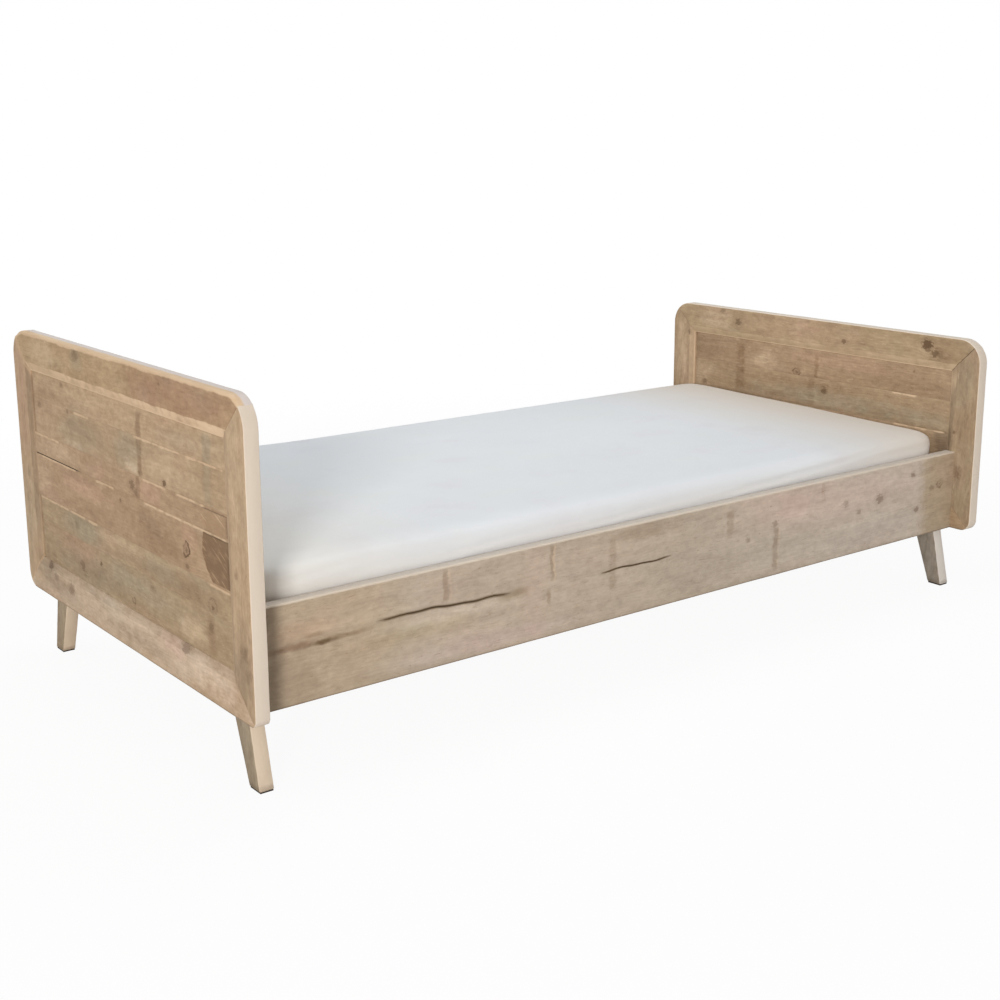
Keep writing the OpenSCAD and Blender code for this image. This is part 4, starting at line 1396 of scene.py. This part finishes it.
cotton = Finish("white_cotton", 0.88)
cx, cy, cz = cotton.place()
weave = (cx * 5200).math("SINE") * (cy * 5200).math("SINE")
soft = cotton.grainy(cx * 3, cy * 4, cz * 6, 3.0)
corner_x = abs(cx) - (bed_half_l - plan_r)
corner_y = abs(cy) - (bed_half_w - plan_r)
dart = abs(corner_x - corner_y) + (corner_x.least(corner_y).rise(0.01, 0.0)) * 0.1
dart = dart.rise(0.0022, 0.0006) * cz.rise(bed_z + edge_t - 0.02, bed_z + edge_t - 0.04)
clouds = cotton.grainy(cx * 6, cy * 8 + 3, cz * 9, 4.0, 0.6)
side_face = cz.rise(bed_z + edge_t - 0.005, bed_z + edge_t - 0.025)
head_corner_shade = cx.rise(-0.86, -0.98) * cy.rise(-0.34, -0.44) * side_face
# Besides the cloth's mottling and a warmer head end, these tints paint light and shade: the foot end
# dimmer and warmer where the light falls off and the footboard reflects, the sides lighter, a
# painted highlight low on the sides, and warm painted shade on the side at the head corner, where
# the headboard shades it.
cotton.skin = cotton.mix(soft, (219, 221, 224), (227, 229, 232))
for share, tint in ((clouds.rise(0.52, 0.72) * 0.35, (216, 212, 218)),
                    (clouds.rise(0.46, 0.30) * 0.30, (224, 226, 218)),
                    (cx.rise(0.45, 1.0) * 0.95, (217, 206, 193)),
                    (side_face * 0.12, (240, 239, 236)),
                    (cz.rise(0.378, 0.352) * 0.45, (250, 249, 247)),
                    (cx.rise(-0.50, -0.95) * 0.5, (232, 227, 216)),
                    (head_corner_shade * 0.5, (229, 222, 211)),
                    (dart * 0.35, (176, 174, 172))):
    cotton.lay(share, tint)
cotton.colour(cotton.skin)
crease = cotton.grainy(cx * 7, cy * 9, cz * 16, 5.0, 0.62)
cotton.relief(weave * 0.02 + crease - dart * 0.5, 0.0050, 0.45)
cotton.shader.inputs["Sheen Weight"].default_value = 0.15
mesh.materials.append(cotton.material)

hem_section = ((0.006, 0), (0.006, 0.0012), (0.0, 0.0018), (-0.006, 0.0012), (-0.006, 0),
               (0.0, -0.0002))
hem_loops = []
for k, spot in enumerate(hem_line):
    before, after = hem_line[k - 1], hem_line[(k + 1) % len(hem_line)]
    way = Vector((after.x - before.x, after.y - before.y)).normalized()
    side = Vector((way.y, -way.x))
    hem_loops.append([(spot.x + side.x * u, spot.y + side.y * u, spot.z + v)
                      for u, v in hem_section])
hem = loft("sheet_hem", hem_loops + hem_loops[:1], cotton.material, capped=False, sharp=80)
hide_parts("mattress")
for piece in (sheet, hem):
    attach(piece, "mattress")


# Studio: a pale floor, a white surround and broad soft lamps above the camera's side.
def lamp(name, place, aim, size, power, tint=(1, 1, 1)):
    data = bpy.data.lights.new(name, "AREA")
    data.shape = "RECTANGLE"
    data.size, data.size_y = size
    data.energy = power
    data.color = tint
    light = put(name, data)
    light.location = place
    light.rotation_euler = (Vector(aim) - Vector(place)).to_track_quat("-Z", "Y").to_euler()


lamp("key", (-6.5, -6.0, 2.4), (-0.3, -0.2, 0.3), (2.0, 2.0), 468, (1.0, 0.975, 0.95))
lamp("top", (-0.1, 0.3, 2.9), (-0.1, 0.0, 0.0), (2.0, 1.6), 34, (0.88, 0.95, 1.0))
lamp("fill", (3.6, -4.2, 1.6), (0.4, 0.0, 0.3), (2.4, 1.6), 6)

world = bpy.data.worlds.new("white surround")
bpy.context.scene.world = world
world.use_nodes = True
world.node_tree.nodes.clear()
sky = Shading(world.node_tree)
seen, glossy, through = [sky.node("ShaderNodeLightPath", output=ray) for ray in
                         ("Is Camera Ray", "Is Glossy Ray", "Is Transmission Ray")]
soft_light = sky.node("ShaderNodeBackground", {},
                      {"Color": (1.0, 0.98, 0.955, 1), "Strength": 0.40})
white = sky.node("ShaderNodeBackground", {}, {"Color": (1, 1, 1, 1), "Strength": 1.0})
either = sky.node("ShaderNodeMixShader", {},
                  [seen.most(glossy).most(through), soft_light, white])
surface = sky.tree.nodes.new("ShaderNodeOutputWorld")
sky.tree.links.new(either.socket, surface.inputs["Surface"])

shade_r = 1.3
white_r = 3.2
whiteness = 0.94
paper = Finish("pale floor", 0.9)
paper.shader.inputs["Base Color"].default_value = (0.86, 0.86, 0.86, 1)
paper.shader.inputs["Specular IOR Level"].default_value = 0.0
glow = paper.node("ShaderNodeEmission", {}, {"Strength": 1.0})
point = paper.node("ShaderNodeTexCoord", output="Object")
off = paper.node("ShaderNodeVectorMath", {"operation": "LENGTH"}, [point], "Value")
fade = paper.node("ShaderNodeMapRange", {"interpolation_type": "SMOOTHSTEP"},
                  {"Value": off, "From Min": shade_r, "From Max": white_r,
                   "To Min": whiteness})
share = paper.node("ShaderNodeLightPath", output="Is Camera Ray") * fade
both = paper.node("ShaderNodeMixShader", {},
                  [share, Value(paper, paper.shader.outputs[0]), glow])
paper.tree.links.new(both.socket, paper.tree.nodes["Material Output"].inputs["Surface"])
floor_mesh = bpy.data.meshes.new("floor")
reach = 14
floor_mesh.from_pydata([(-reach, -reach, 0), (reach, -reach, 0), (reach, reach, 0),
                        (-reach, reach, 0)], [], [(0, 1, 2, 3)])
floor_mesh.materials.append(paper.material)
floor = put("floor", floor_mesh)
